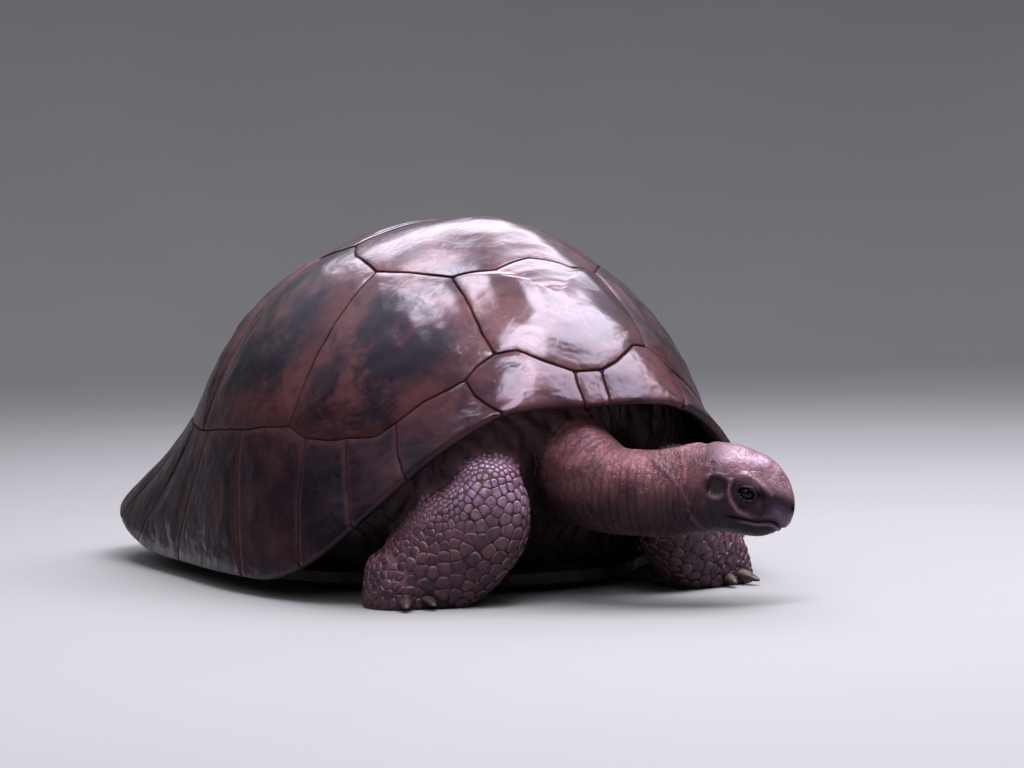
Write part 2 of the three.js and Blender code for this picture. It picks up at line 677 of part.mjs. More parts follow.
const MOUTH = { corner: 54, front: 136, level: -35, grooveDepth: 3.6, lipRise: 1.6, lipStep: 4.8 };
const EYE = {
  forward: 74, left: 36.5, up: 0, radius: 14, lid: 19, lidOut: 1.5, openLength: 14, openHeight: 9.5, tip: 12,
};
const BROW = { forward: 80, left: 40, up: 16, length: 28, depth: 9, height: 8, tip: 18, yaw: 19 };
const EARDRUM = { forward: 32, left: 61, up: -1, radius: 15, depth: 7 };
const JAW = { forward: 32, up: -34, rise: 5, length: 22, height: 18 };
const NOSTRIL = { forward: 140.5, left: 7, up: -6, radius: 3.6 };

/** Half width, crown and throat of the head at a place along it. */
function headSize(forward) {
  const last = HEAD_SECTIONS.length - 2;
  let i = HEAD_SECTIONS.findIndex((_, k) => k === last || forward <= HEAD_SECTIONS[k + 1][0]);
  i = Math.max(0, i);
  const [a, b] = [HEAD_SECTIONS[i], HEAD_SECTIONS[i + 1]];
  const k = (forward - a[0]) / (b[0] - a[0]);
  return { wide: mix(a[1], b[1], k), crown: mix(a[2], b[2], k), throat: mix(a[3], b[3], k) };
}

/** The height of the mouth's line at a place along the head. */
function mouthHeight(forward) {
  return MOUTH.level + 4 * smooth(92, 116, forward) - 7 * smooth(120, 134, forward);
}

/** The plain skull at a station, at an angle that runs from the throat, -90, to the crown, 90. */
function skullPoint(forward, side, angle) {
  const { wide, crown, throat } = headSize(forward);
  const e = 2 / HEAD_SQUARENESS;
  const half = (crown - throat) / 2;
  return {
    left: side * wide * Math.max(0, Math.cos(angle)) ** e,
    up: (crown + throat) / 2 + half * power(Math.sin(angle), e),
  };
}

function mouthAngle(forward) {
  const { crown, throat } = headSize(forward);
  const share = (mouthHeight(forward) - (crown + throat) / 2) / ((crown - throat) / 2);
  return Math.asin(Math.max(-0.97, Math.min(0.97, power(share, HEAD_SQUARENESS / 2))));
}

/** The angles of one ring's side from crown to throat, and how far each of its places stands out. */
function headRow(forward) {
  const mouth = mouthAngle(forward);
  const { above, below } = HEAD_ROWS;
  const lip = MOUTH.lipStep / headSize(forward).wide;
  const behind = smooth(MOUTH.corner - 8, MOUTH.corner + 8, forward);
  const open = behind * smooth(MOUTH.front, MOUTH.front - 6, forward);
  const row = [];
  for (let i = 0; i <= above; i += 1) {
    const rise = i === above ? open * MOUTH.lipRise : 0;
    row.push({ angle: mix(Math.PI / 2, mouth + lip, i / above), rise });
  }
  row.push({ angle: mouth, rise: -open * MOUTH.grooveDepth });
  for (let i = 0; i <= below; i += 1) {
    const rise = i ? 0 : open * MOUTH.lipRise;
    row.push({ angle: mix(Math.max(mouth - lip, -1.5), -Math.PI / 2, i / below), rise });
  }
  return row;
}

function facePoint(forward, side, { angle, rise }) {
  const { left, up } = skullPoint(forward, side, angle);
  const fromJaw = Math.hypot((forward - JAW.forward) / JAW.length, (up - JAW.up) / JAW.height);
  const out = rise + JAW.rise * Math.exp(-(fromJaw ** 2)) * smooth(0, 10, forward);
  return headPoint(forward, left + side * Math.cos(angle) * out, up + Math.sin(angle) * out);
}

/** The skull with its face, as rings of points from the joint to the tip of the beak. */
function makeSkull() {
  const points = [];
  const rings = HEAD_STATIONS.map((forward) => {
    const row = headRow(forward);
    const left = row.map((place) => points.push(facePoint(forward, 1, place)) - 1);
    const right = row.slice(1, -1).reverse().map((place) => points.push(facePoint(forward, -1, place)) - 1);
    return [...left, ...right];
  });
  const triangles = [];
  const sides = rings[0].length;
  for (let r = 0; r + 1 < rings.length; r += 1) {
    for (let i = 0; i < sides; i += 1) {
      const j = (i + 1) % sides;
      triangles.push([rings[r][i], rings[r][j], rings[r + 1][j]]);
      triangles.push([rings[r][i], rings[r + 1][j], rings[r + 1][i]]);
    }
  }
  const back = points.push(headPoint(0, 0, -16)) - 1;
  const front = points.push(headPoint(144, 0, -14)) - 1;
  for (let i = 0; i < sides; i += 1) {
    const j = (i + 1) % sides;
    const last = rings[rings.length - 1];
    triangles.push([back, rings[0][j], rings[0][i]], [front, last[i], last[j]]);
  }
  return outward(points, triangles);
}

const headAxes = new THREE.Quaternion().setFromRotationMatrix(
  new THREE.Matrix4().makeBasis(headForward, headLeft, headUp.clone()),
);

/**
 * An egg set in the head. Its radii run forward, sideways and up; `tip` dips its front and `yaw`
 * turns its front to the animal's right.
 */
function headEgg(forward, left, up, radii, { tip = 0, yaw = 0, across = 12, along = 8 } = {}) {
  const turn = headAxes.clone()
    .multiply(new THREE.Quaternion().setFromAxisAngle(vec(0, 0, 1), -yaw * RAD))
    .multiply(new THREE.Quaternion().setFromAxisAngle(vec(0, 1, 0), tip * RAD));
  return ball(headPoint(forward, left, up), radii, { turn, across, along });
}

function makeEye(side) {
  const centre = headPoint(EYE.forward, side * EYE.left, EYE.up);
  return ball(centre, [EYE.radius, EYE.radius, EYE.radius], { across: 14, along: 8 });
}

function makeHead(eyes) {
  let head = makeSkull();
  for (const side of [1, -1]) {
    const { forward, left, up, radius, lid, lidOut, openLength, openHeight, tip } = EYE;
    const lidRadii = [lid, lid + lidOut - 1, lid];
    head = head.add(headEgg(forward, side * left, up, lidRadii, { across: 16, along: 10 }));
    head = head.add(headEgg(BROW.forward, side * BROW.left, BROW.up, [BROW.length, BROW.depth, BROW.height],
      { tip: BROW.tip, yaw: side * BROW.yaw }));
    const opening = [openLength, lid - radius + 9, openHeight];
    head = head.subtract(headEgg(forward + 1, side * (left + lid), up, opening, { tip, across: 14 }));
    head = head.subtract(headEgg(EARDRUM.forward, side * EARDRUM.left, EARDRUM.up,
      [EARDRUM.radius, EARDRUM.depth, EARDRUM.radius]));
    head = head.subtract(headEgg(NOSTRIL.forward, side * NOSTRIL.left, NOSTRIL.up,
      [NOSTRIL.radius, NOSTRIL.radius, NOSTRIL.radius * 0.8], { across: 8, along: 5 }));
  }
  return without(head, eyes.left, eyes.right);
}

// ---------------------------------------------------------------- legs, feet and tail

// The forearm from the elbow, which points forward, down to the wrist, and the upper arm behind it.
const FOREARM_RIGHT = [
  { at: [-147, -512, 178], wide: 45, up: 42, down: 44, dome: 0.85 },
  { at: [-147, -512, 152], wide: 56, up: 48, down: 52 },
  { at: [-153, -502, 122], wide: 66, up: 50, down: 56 },
  { at: [-175, -480, 92], wide: 75, up: 52, down: 58 },
  { at: [-202, -460, 62], wide: 77, up: 52, down: 56 },
  { at: [-230, -444, 34], wide: 74, up: 52, down: 52 },
];
const UPPER_ARM_RIGHT = [
  { at: [-150, -495, 146], wide: 44, up: 42, down: 42, dome: 0.5 },
  { at: [-172, -410, 132], wide: 54, up: 48, down: 50 },
  { at: [-192, -320, 140], wide: 62, up: 56, down: 56 },
];

// Large scales down the front of each forearm, in staggered rows; `along` is the share of its length.
const ARM_SCALES = {
  perRow: [3, 4, 3, 4, 3], firstAlong: 0.07, lastAlong: 0.8, fan: 116, width: 20, height: 18, rise: 4.5,
  sunk: 6, topShare: 0.78, sides: 6, vary: 0.12,
};

/** Repeatable numbers between 0 and 1. */
function seeded(seed) {
  let state = seed;
  return () => {
    state = (state * 1664525 + 1013904223) % 4294967296;
    return state / 4294967296;
  };
}

/** A place on a loft, with the directions out of it and along it. */
function loftPlace(sections, upward, share, degrees) {
  const k = share * (sections.length - 1);
  const low = Math.min(sections.length - 2, Math.floor(k));
  const [a, b] = [sections[low], sections[low + 1]];
  const [fa, fb] = [sectionFrame(sections, low, upward), sectionFrame(sections, low + 1, upward)];
  const [wide, up] = [mix(a.wide, b.wide, k - low), mix(a.up, b.up, k - low)];
  const e = 2 / mix(a.squareness ?? 2.2, b.squareness ?? 2.2, k - low);
  const across = fa.across.lerp(fb.across, k - low).normalize();
  const upDir = fa.upDir.lerp(fb.upDir, k - low).normalize();
  const [c, s] = [Math.cos(degrees * RAD), Math.sin(degrees * RAD)];
  const point = fa.centre.lerp(fb.centre, k - low)
    .addScaledVector(across, power(c, e) * wide).addScaledVector(upDir, power(s, e) * up);
  const out = across.clone().multiplyScalar(c / wide).addScaledVector(upDir, s / up).normalize();
  return { point, out, along: fa.tangent };
}

/** One scale: a low plate with slanting sides, its root sunk in the skin. */
function armScale({ point, out, along }, random) {
  const { width, height, rise, sunk, topShare, sides, vary } = ARM_SCALES;
  const across = along.clone().cross(out).normalize();
  const onward = out.clone().cross(across);
  const outline = Array.from({ length: sides }, (_, i) => {
    const angle = ((i + 0.5) / sides) * 2 * Math.PI;
    const size = 1 - vary * random();
    return [Math.cos(angle) * width * size, Math.sin(angle) * height * size];
  });
  const place = ([x, y], share, lift) => point.clone().addScaledVector(across, x * share)
    .addScaledVector(onward, y * share).addScaledVector(out, lift);
  const points = [
    ...outline.map((corner) => place(corner, 1, -sunk)),
    ...outline.map((corner) => place(corner, topShare, rise)),
  ];
  const triangles = [];
  for (let i = 0; i < sides; i += 1) {
    const j = (i + 1) % sides;
    triangles.push([i, j, sides + j], [i, sides + j, sides + i]);
    if (i > 0 && i < sides - 1) triangles.push([0, i + 1, i], [sides, sides + i, sides + i + 1]);
  }
  return outward(points, triangles);
}

function makeForeleg(side, ...neighbours) {
  const flip = (sections) => (side < 0 ? sections : mirrored(sections));
  const arm = refined(flip(FOREARM_RIGHT), 2);
  const upward = vec(side * 0.4, -0.9, 0.2);
  let leg = loft(arm, { sides: 18, upward });
  leg = leg.add(loft(refined(flip(UPPER_ARM_RIGHT), 1), { sides: 14 }));
  const { perRow, firstAlong, lastAlong, fan } = ARM_SCALES;
  const random = seeded(11 + side);
  perRow.forEach((count, row) => {
    for (let i = 0; i < count; i += 1) {
      const share = mix(firstAlong, lastAlong, row / (perRow.length - 1)) + 0.02 * (random() - 0.5);
      const degrees = 90 + fan * ((i + 0.5) / count - 0.5) + 6 * (random() - 0.5);
      leg = leg.add(armScale(loftPlace(arm, upward, share, degrees), random));
    }
  });
  return grounded(without(leg, ...neighbours));
}

function makeLeg(sections, hint, ...neighbours) {
  const body = loft(refined(sections, 2), { sides: 20, upward: hint });
  return grounded(without(body, ...neighbours));
}

const FOOT = { length: 120, width: 150, height: 62, clawLength: 34, clawWidth: 11 };

/** A stout round foot on the ground with its claws, heading `turn` degrees from straight ahead. */
function makeFoot(at, turn, claws, neighbours) {
  const spin = new THREE.Quaternion().setFromAxisAngle(vec(0, 0, 1), turn * RAD);
  const place = (x, y, z) => vec(x, y, z).applyQuaternion(spin).add(vec(at[0], at[1], 0));
  const pad = [
    {
      at: place(0, 0, -30).toArray(),
      wide: FOOT.width / 2, up: FOOT.length / 2, down: FOOT.length / 2,
      dome: 0.2,
    },
    { at: place(0, 0, 22).toArray(), wide: FOOT.width / 2, up: FOOT.length / 2, down: FOOT.length / 2 },
    {
      at: place(0, 10, FOOT.height).toArray(),
      wide: FOOT.width * 0.42, up: FOOT.length * 0.42, down: FOOT.length * 0.42, dome: 0.5,
    },
  ];
  let foot = loft(pad, { sides: 16, upward: vec(0, -1, 0).applyQuaternion(spin) });
  for (let i = 0; i < claws; i += 1) {
    const spread = (i - (claws - 1) / 2) / ((claws - 1) / 2);
    const angle = spread * 50 * RAD;
    const root = [Math.sin(angle) * FOOT.width * 0.42, -Math.cos(angle) * FOOT.length * 0.42, 20];
    const tip = [Math.sin(angle) * (FOOT.width * 0.5 + FOOT.clawLength * 0.75),
      -Math.cos(angle) * (FOOT.length * 0.5 + FOOT.clawLength * 0.75), 7];
    const knuckle = root.map((v, k) => mix(v, tip[k], 0.5) + (k === 2 ? 3 : 0));
    foot = foot.add(loft([
      { at: place(...root).toArray(), wide: FOOT.clawWidth, up: 10, down: 10 },
      { at: place(...knuckle).toArray(), wide: FOOT.clawWidth * 0.95, up: 8.5, down: 9 },
      { at: place(...tip).toArray(), wide: 4, up: 2.5, down: 4, dome: 0.6 },
    ], { sides: 8 }));
  }
  return grounded(without(largest(foot), ...neighbours));
}

const HINDLEG_RIGHT = [
  { at: [-190, 250, 150], wide: 78, up: 70, down: 70 },
  { at: [-215, 330, 120], wide: 74, up: 66, down: 66 },
  { at: [-238, 385, 82], wide: 70, up: 58, down: 60 },
  { at: [-246, 408, 50], wide: 66, up: 56, down: 56 },
];

const TAIL = [
  { at: [0, 300, 130], wide: 52, up: 44, down: 44 },
  { at: [2, 385, 112], wide: 42, up: 34, down: 34 },
  { at: [8, 445, 84], wide: 28, up: 24, down: 24 },
  { at: [20, 490, 56], wide: 16, up: 14, down: 14 },
  { at: [34, 515, 38], wide: 7, up: 6, down: 6, dome: 0.8 },
];

// ---------------------------------------------------------------- assembly

const { solid: carapace, rimAngles } = makeCarapace();
const plastron = makePlastron(carapace);
const torso = makeTorso(rimAngles, carapace, plastron);
const eyes = { left: makeEye(1), right: makeEye(-1) };
const head = makeHead(eyes);
const neck = makeNeck(torso, carapace, head);

const foreleg = {
  right: makeForeleg(-1, torso, carapace, plastron, neck),
  left: makeForeleg(1, torso, carapace, plastron, neck),
};
const forefoot = {
  right: makeFoot([-232, -425], 24, 5, [foreleg.right, torso, plastron, carapace]),
  left: makeFoot([232, -425], -24, 5, [foreleg.left, torso, plastron, carapace]),
};
const hindHint = vec(0, -1, 0.4);
const hindleg = {
  right: makeLeg(HINDLEG_RIGHT, hindHint, torso, carapace, plastron),
  left: makeLeg(mirrored(HINDLEG_RIGHT), hindHint, torso, carapace, plastron),
};
const hindfoot = {
  right: makeFoot([-252, 425], -14, 4, [hindleg.right, torso, plastron, carapace]),
  left: makeFoot([252, 425], 14, 4, [hindleg.left, torso, plastron, carapace]),
};
const tail = makeLeg(TAIL, vec(0, 0, 1), torso, carapace, plastron);

const materials = {
  shell: () => new THREE.MeshStandardMaterial({ color: COLOURS.shell, roughness: 0.22, metalness: 0 }),
  plastron: () => new THREE.MeshStandardMaterial({ color: COLOURS.plastron, roughness: 0.55, metalness: 0 }),
  skin: () => new THREE.MeshStandardMaterial({ color: COLOURS.skin, roughness: 0.6, metalness: 0 }),
  scales: () => new THREE.MeshStandardMaterial({ color: COLOURS.scales, roughness: 0.45, metalness: 0 }),
  eye: () => new THREE.MeshStandardMaterial({ color: COLOURS.eye, roughness: 0.08, metalness: 0 }),
};

const group = new THREE.Group();

function addNode(name, solid, material) {
  const { vertProperties, triVerts, numProp } = solid.getMesh();
  const positions = [];
  for (let i = 0; i < vertProperties.length; i += numProp) {
    positions.push(vertProperties[i], vertProperties[i + 1], vertProperties[i + 2]);
  }
  const geometry = new THREE.BufferGeometry();
  geometry.setAttribute('position', new THREE.Float32BufferAttribute(positions, 3));
  geometry.setIndex([...triVerts]);
  geometry.computeVertexNormals();
  const mesh = new THREE.Mesh(geometry, material());
  mesh.name = name;
  group.add(mesh);
}

addNode('carapace', carapace, materials.shell);
addNode('plastron', plastron, materials.plastron);
addNode('torso', torso, materials.skin);
addNode('neck', neck, materials.skin);
addNode('head', head, materials.skin);
for (const side of ['left', 'right']) {
  addNode(`eye_${side}`, eyes[side], materials.eye);
  addNode(`foreleg_${side}`, foreleg[side], materials.scales);
  addNode(`forefoot_${side}`, forefoot[side], materials.scales);
  addNode(`hindleg_${side}`, hindleg[side], materials.scales);
  addNode(`hindfoot_${side}`, hindfoot[side], materials.scales);
}
addNode('tail', tail, materials.skin);

export default group;
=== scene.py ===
"""A giant tortoise as a life-size still model: shell, skin, scales, claws and eyes, with its studio."""

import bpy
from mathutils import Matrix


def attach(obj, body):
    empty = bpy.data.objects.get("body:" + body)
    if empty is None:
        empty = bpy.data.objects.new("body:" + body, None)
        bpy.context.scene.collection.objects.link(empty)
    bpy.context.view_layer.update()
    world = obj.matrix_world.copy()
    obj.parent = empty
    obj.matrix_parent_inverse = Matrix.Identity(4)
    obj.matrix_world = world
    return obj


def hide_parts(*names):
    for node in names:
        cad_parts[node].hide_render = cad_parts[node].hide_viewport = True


bl_info = {
    "name": "Giant Tortoise",
    "version": (1, 0, 0),
    "blender": (4, 5, 0),
    "location": "View3D > Sidebar > Tortoise",
    "description": "Builds a life-size giant tortoise over its solid model",
    "category": "Add Mesh",
}

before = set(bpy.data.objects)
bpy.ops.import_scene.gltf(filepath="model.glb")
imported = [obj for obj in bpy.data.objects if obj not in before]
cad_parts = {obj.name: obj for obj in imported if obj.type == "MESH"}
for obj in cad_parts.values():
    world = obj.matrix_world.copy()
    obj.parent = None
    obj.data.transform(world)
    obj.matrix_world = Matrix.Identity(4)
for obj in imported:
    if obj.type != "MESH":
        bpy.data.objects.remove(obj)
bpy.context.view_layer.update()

import math

import bmesh
import bpy
import numpy as np
from mathutils import Matrix, Vector
from mathutils.bvhtree import BVHTree
from mathutils.kdtree import KDTree

MM = 0.001                     # the tables below are in millimetres; Blender's meshes are in metres

# ---- sums and noise


def smooth(low, high, value):
    k = np.clip((np.asarray(value, float) - low) / (high - low), 0, 1)
    return k * k * (3 - 2 * k)


def mix(a, b, k):
    return a + (b - a) * k


def power(x, exponent):
    return np.sign(x) * np.abs(x) ** exponent


def bell(distance, width):
    return np.exp(-((distance / width) ** 2))


def unit(vectors):
    return vectors / np.maximum(np.linalg.norm(vectors, axis=-1, keepdims=True), 1e-9)


def draw(cells, seed):
    """A repeatable number from 0 to 1 for each whole-numbered cell."""
    x, y, z = (cells[:, k].astype(np.int64) for k in range(3))
    h = (x * 374761393 + y * 668265263 + z * 2147483629 + seed * 974634777) & 0xFFFFFFFF
    h = ((h ^ (h >> 13)) * 1274126177) & 0xFFFFFFFF
    h = ((h ^ (h >> 15)) * 2246822519) & 0xFFFFFFFF
    return ((h ^ (h >> 16)) & 0xFFFFFF) / 0x1000000


def noise(points, size, seed=0):
    """Smooth values from -1 to 1 that change over about one size."""
    p = points / size
    cell = np.floor(p).astype(np.int64)
    f = p - cell
    f = f * f * (3 - 2 * f)
    total = np.zeros(len(p))
    for corner in range(8):
        step = np.array([corner & 1, corner >> 1 & 1, corner >> 2])
        total += np.prod(np.where(step, f, 1 - f), axis=1) * draw(cell + step, seed)
    return 2 * total - 1


def rough(points, size, seed=0, octaves=3):
    return sum(noise(points, size / 2 ** i, seed + i) / 2 ** i for i in range(octaves)) / 1.5


def path_distance(points, path):
    """The distance of each point to a line through a few others."""
    best = np.full(len(points), 1e9)
    for start, end in zip(path[:-1], path[1:]):
        a, b = np.asarray(start, float), np.asarray(end, float)
        t = np.clip((points - a) @ (b - a) / max((b - a) @ (b - a), 1e-9), 0, 1)
        best = np.minimum(best, np.linalg.norm(points - a - t[:, None] * (b - a), axis=1))
    return best


def side_line(path):
    """A line on the side of the head, from pairs of places forward and up."""
    return np.array([(forward, 0.0, up) for forward, up in path])


# ---- meshes


def deselect():
    bpy.ops.object.select_all(action="DESELECT")


def take(piece):
    """Makes a piece the only one selected, and the active one."""
    deselect()
    piece.select_set(True)
    bpy.context.view_layer.objects.active = piece


def open_faces(piece):
    """Goes into edit mode with all faces of a piece selected."""
    take(piece)
    bpy.ops.object.mode_set(mode="EDIT")
    bpy.ops.mesh.select_mode(type="FACE")
    bpy.ops.mesh.select_all(action="SELECT")


def close_faces():
    """Cuts all faces into triangles and leaves edit mode."""
    bpy.ops.mesh.select_all(action="SELECT")
    bpy.ops.mesh.quads_convert_to_tris()
    bpy.ops.object.mode_set(mode="OBJECT")


def piece_from(name, points, faces, masks=None):
    """A new object from points in millimetres and its triangles; masks are values for each point."""
    mesh = bpy.data.meshes.new(name)
    faces = np.asarray(faces, np.int32)
    mesh.vertices.add(len(points))
    mesh.vertices.foreach_set("co", (np.asarray(points) * MM).astype(np.float32).ravel())
    mesh.loops.add(faces.size)
    mesh.loops.foreach_set("vertex_index", faces.ravel())
    mesh.polygons.add(len(faces))
    mesh.polygons.foreach_set("loop_start", np.arange(0, faces.size, 3, dtype=np.int32))
    mesh.update(calc_edges=True)
    mesh.validate()
    piece = bpy.data.objects.new(name, mesh)
    bpy.context.scene.collection.objects.link(piece)
    for mask, values in (masks or {}).items():
        set_mask(piece, mask, values)
    return piece


def set_mask(piece, name, values):
    layer = piece.data.attributes.get(name) or piece.data.attributes.new(name, "FLOAT", "POINT")
    layer.data.foreach_set("value", np.asarray(values, np.float32))


def get_points(piece):
    points = np.zeros(3 * len(piece.data.vertices), np.float32)
    piece.data.vertices.foreach_get("co", points)
    return points.reshape(-1, 3).astype(float) / MM


def set_points(piece, points):
    piece.data.vertices.foreach_set("co", (points * MM).astype(np.float32).ravel())
    piece.data.update()


def get_normals(piece):
    normals = np.zeros(3 * len(piece.data.vertices), np.float32)
    piece.data.vertex_normals.foreach_get("vector", normals)
    return normals.reshape(-1, 3).astype(float)


def get_edges(piece):
    edges = np.zeros(2 * len(piece.data.edges), np.int32)
    piece.data.edges.foreach_get("vertices", edges)
    return edges.reshape(-1, 2)


def relax(points, edges, turns, share=0.5, weight=None):
    """Evens a surface out by moving each point towards the middle of its neighbours."""
    count = np.bincount(edges.ravel(), minlength=len(points)).astype(float)
    weight = 1.0 if weight is None else weight[:, None]
    for _ in range(turns):
        total = np.stack([
            np.bincount(edges[:, 0], points[edges[:, 1], k], len(points))
            + np.bincount(edges[:, 1], points[edges[:, 0], k], len(points))
            for k in range(points.shape[1])
        ], axis=1)
        points = points + share * weight * (total / np.maximum(count, 1)[:, None] - points)
    return points


def smooth_faces(piece):
    piece.data.polygons.foreach_set("use_smooth", np.ones(len(piece.data.polygons), bool))
    piece.data.update()


def joined(name, pieces):
    """One object from several."""
    deselect()
    for piece in pieces:
        piece.select_set(True)
    bpy.context.view_layer.objects.active = pieces[0]
    bpy.ops.object.join()
    pieces[0].name = name
    pieces[0].data.name = name
    return pieces[0]


def settled(piece):
    """Puts a piece's place into its mesh."""
    take(piece)
    bpy.ops.object.transform_apply(location=True, rotation=True, scale=True)
    return piece


def grid_faces(rings):
    """Triangles between rings of point numbers, each ring a row of the same count."""
    rings = np.asarray(rings)
    i = np.arange(rings.shape[1])
    j = (i + 1) % rings.shape[1]
    faces = []
    for low, high in zip(rings[:-1], rings[1:]):
        faces += [np.stack([low[i], low[j], high[j]], 1), np.stack([low[i], high[j], high[i]], 1)]
    return np.concatenate(faces)


def fan_faces(ring, tip):
    ring = np.asarray(ring)
    return np.stack([ring, np.roll(ring, -1), np.full(len(ring), tip)], 1)


def outward(points, faces):
    """Turns the triangles of a closed surface so that they face out."""
    a, b, c = (points[faces[:, k]] for k in range(3))
    volume = np.einsum("ij,ij->i", a, np.cross(b, c)).sum()
    return faces if volume > 0 else faces[:, ::-1]


def finish_piece(piece, material, slot, *nodes):
    """Gives a piece its material and its body, and hides the solid parts that it replaces; the slot is not
    used.
    """
    smooth_faces(piece)
    piece.data.materials.clear()
    piece.data.materials.append(material)
    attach(piece, "root")
    if nodes:
        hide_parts(*nodes)


# ---- materials


class Nodes:
    """Short calls that add and join the nodes of a tree."""

    def __init__(self, tree):
        self.tree = tree

    def node(self, kind, **values):
        """A new node; each value goes to its property or else to its socket of that name."""
        node = self.tree.nodes.new(kind)
        for name, value in values.items():
            if hasattr(node, name):
                setattr(node, name, value)
            else:
                self.feed(node.inputs[name], value)
        return node

    def feed(self, socket, value):
        """Links another node's output to a socket, or sets a plain value."""
        if isinstance(value, bpy.types.NodeSocket):
            self.tree.links.new(value, socket)
        else:
            socket.default_value = value

    def filled(self, kind, *inputs, **values):
        """A new node whose first sockets are fed in their order."""
        node = self.node(kind, **values)
        for socket, value in zip(node.inputs, inputs):
            self.feed(socket, value)
        return node

    def math(self, kind, a, b=0.0, c=0.0):
        return self.filled("ShaderNodeMath", a, b, c, operation=kind).outputs[0]

    def times(self, first, *others):
        """The product of masks and numbers."""
        for other in others:
            first = self.math("MULTIPLY", first, other)
        return first

    def rest(self, mask):
        """What a mask leaves free."""
        return self.math("SUBTRACT", 1.0, mask)

    def ramp(self, value, low, high, to_low=0.0, to_high=1.0):
        """Goes softly from to_low to to_high as the value goes from low to high."""
        inputs = (value, low, high, to_low, to_high)
        return self.filled("ShaderNodeMapRange", *inputs, interpolation_type="SMOOTHSTEP").outputs[0]

    def paint(self, base, colour, *shares):
        """Lays a colour over a base, as thick as the product of the shares."""
        node = self.filled("ShaderNodeMix", self.times(*shares), data_type="RGBA")
        below, above, result = node.inputs[6], node.inputs[7], node.outputs[2]
        self.feed(below, base)
        self.feed(above, colour)
        return result


class Shader(Nodes):
    """The nodes of a material with a Principled shader; sizes are in millimetres."""

    def __init__(self, name):
        self.material = bpy.data.materials.new(name)
        self.material.use_nodes = True
        super().__init__(self.material.node_tree)
        self.bsdf = self.tree.nodes["Principled BSDF"]
        self.object = self.node("ShaderNodeTexCoord").outputs["Object"]

    def mask(self, name):
        return self.node("ShaderNodeAttribute", attribute_name=name).outputs["Fac"]

    def height(self):
        """Metres above the ground."""
        return self.filled("ShaderNodeSeparateXYZ", self.object).outputs["Z"]

    def cloud(self, size, detail, **values):
        values = {"Vector": self.object, **values}
        return self.node("ShaderNodeTexNoise", Scale=1 / (size * MM), Detail=detail, **values).outputs

    def noise(self, size, detail, roughness=0.55, distortion=0.0, where=None):
        place = where or self.object
        return self.cloud(size, detail, Roughness=roughness, Distortion=distortion, Vector=place)["Fac"]

    def cells(self, size, where, feature="DISTANCE_TO_EDGE", output="Distance"):
        values = {"feature": feature, "Scale": 1 / (size * MM), "Vector": where}
        return self.node("ShaderNodeTexVoronoi", **values).outputs[output]

    def warped(self, size, amount):
        """Object coordinates pushed about by a noise."""
        kind = "ShaderNodeVectorMath"
        centred = self.filled(kind, self.cloud(size, 2.0)["Color"], (0.5, 0.5, 0.5), operation="SUBTRACT")
        scaled = self.node(kind, operation="SCALE", Vector=centred.outputs[0], Scale=2 * amount * MM)
        return self.filled(kind, self.object, scaled.outputs[0], operation="ADD").outputs[0]

    def bump(self, height, depth, normal=None):
        """A bump whose height of 1 stands for a depth."""
        below = {} if normal is None else {"Normal": normal}
        values = {"Strength": 1.0, "Distance": depth * MM, "Height": height, **below}
        return self.node("ShaderNodeBump", **values).outputs["Normal"]

    def finished(self, **values):
        """Fills the sockets of the Principled shader and gives back the material."""
        for name, value in values.items():
            self.feed(self.bsdf.inputs[name.replace("_", " ")], value)
        return self.material


def rgb(red, green, blue):
    """A colour given as on a screen, 0 to 255, for the shader."""
    parts = [v / 255 for v in (red, green, blue)]
    linear = [v / 12.92 if v <= 0.04045 else ((v + 0.055) / 1.055) ** 2.4 for v in parts]
    return (*linear, 1.0)


# ---- the dome of the shell
# A place on the shell is (angle, height): the angle runs round from the front, 0, over the
# animal's left, 90, to the rear, 180, and the height from the rim, 0, to the top, 1.

RAD = math.pi / 180
MIDDLE, SIDE, RIM, WALL = 0.0, 0.5, 1.0, 2.0    # kinds of plate, and the inside of the shell
SHELL = dict(
    half_length=560, half_width=405, height=546, apex_y=-120, broad_behind=0.03,
    front_squareness=2.75, rear_squareness=3.6,
    dome_front=538, dome_rear=420, dome_half_width=387, dome_squareness=2.2, flare_reach=0.12,
    corner_flare=36, corner_angle=133, corner_spread=31,
    front_rim=281, side_rim=28, corner_rim=88, rear_rim=116,
    front_fullness=1.65, side_fullness=2.13, rear_fullness=2.06,
    thickness=15, lip=13,
)


def oval(angle, half_length, half_width, squareness):
    e = 2 / squareness
    return half_width * power(np.sin(angle), e), -half_length * power(np.cos(angle), e)


def rim_height(turn):
    s = SHELL
    return (
        s["front_rim"]
        + (s["side_rim"] - s["front_rim"]) * smooth(7 * RAD, 75 * RAD, turn)
        + (s["corner_rim"] - s["side_rim"]) * smooth(95 * RAD, 135 * RAD, turn)
        + (s["rear_rim"] - s["corner_rim"]) * smooth(140 * RAD, 178 * RAD, turn)
    )


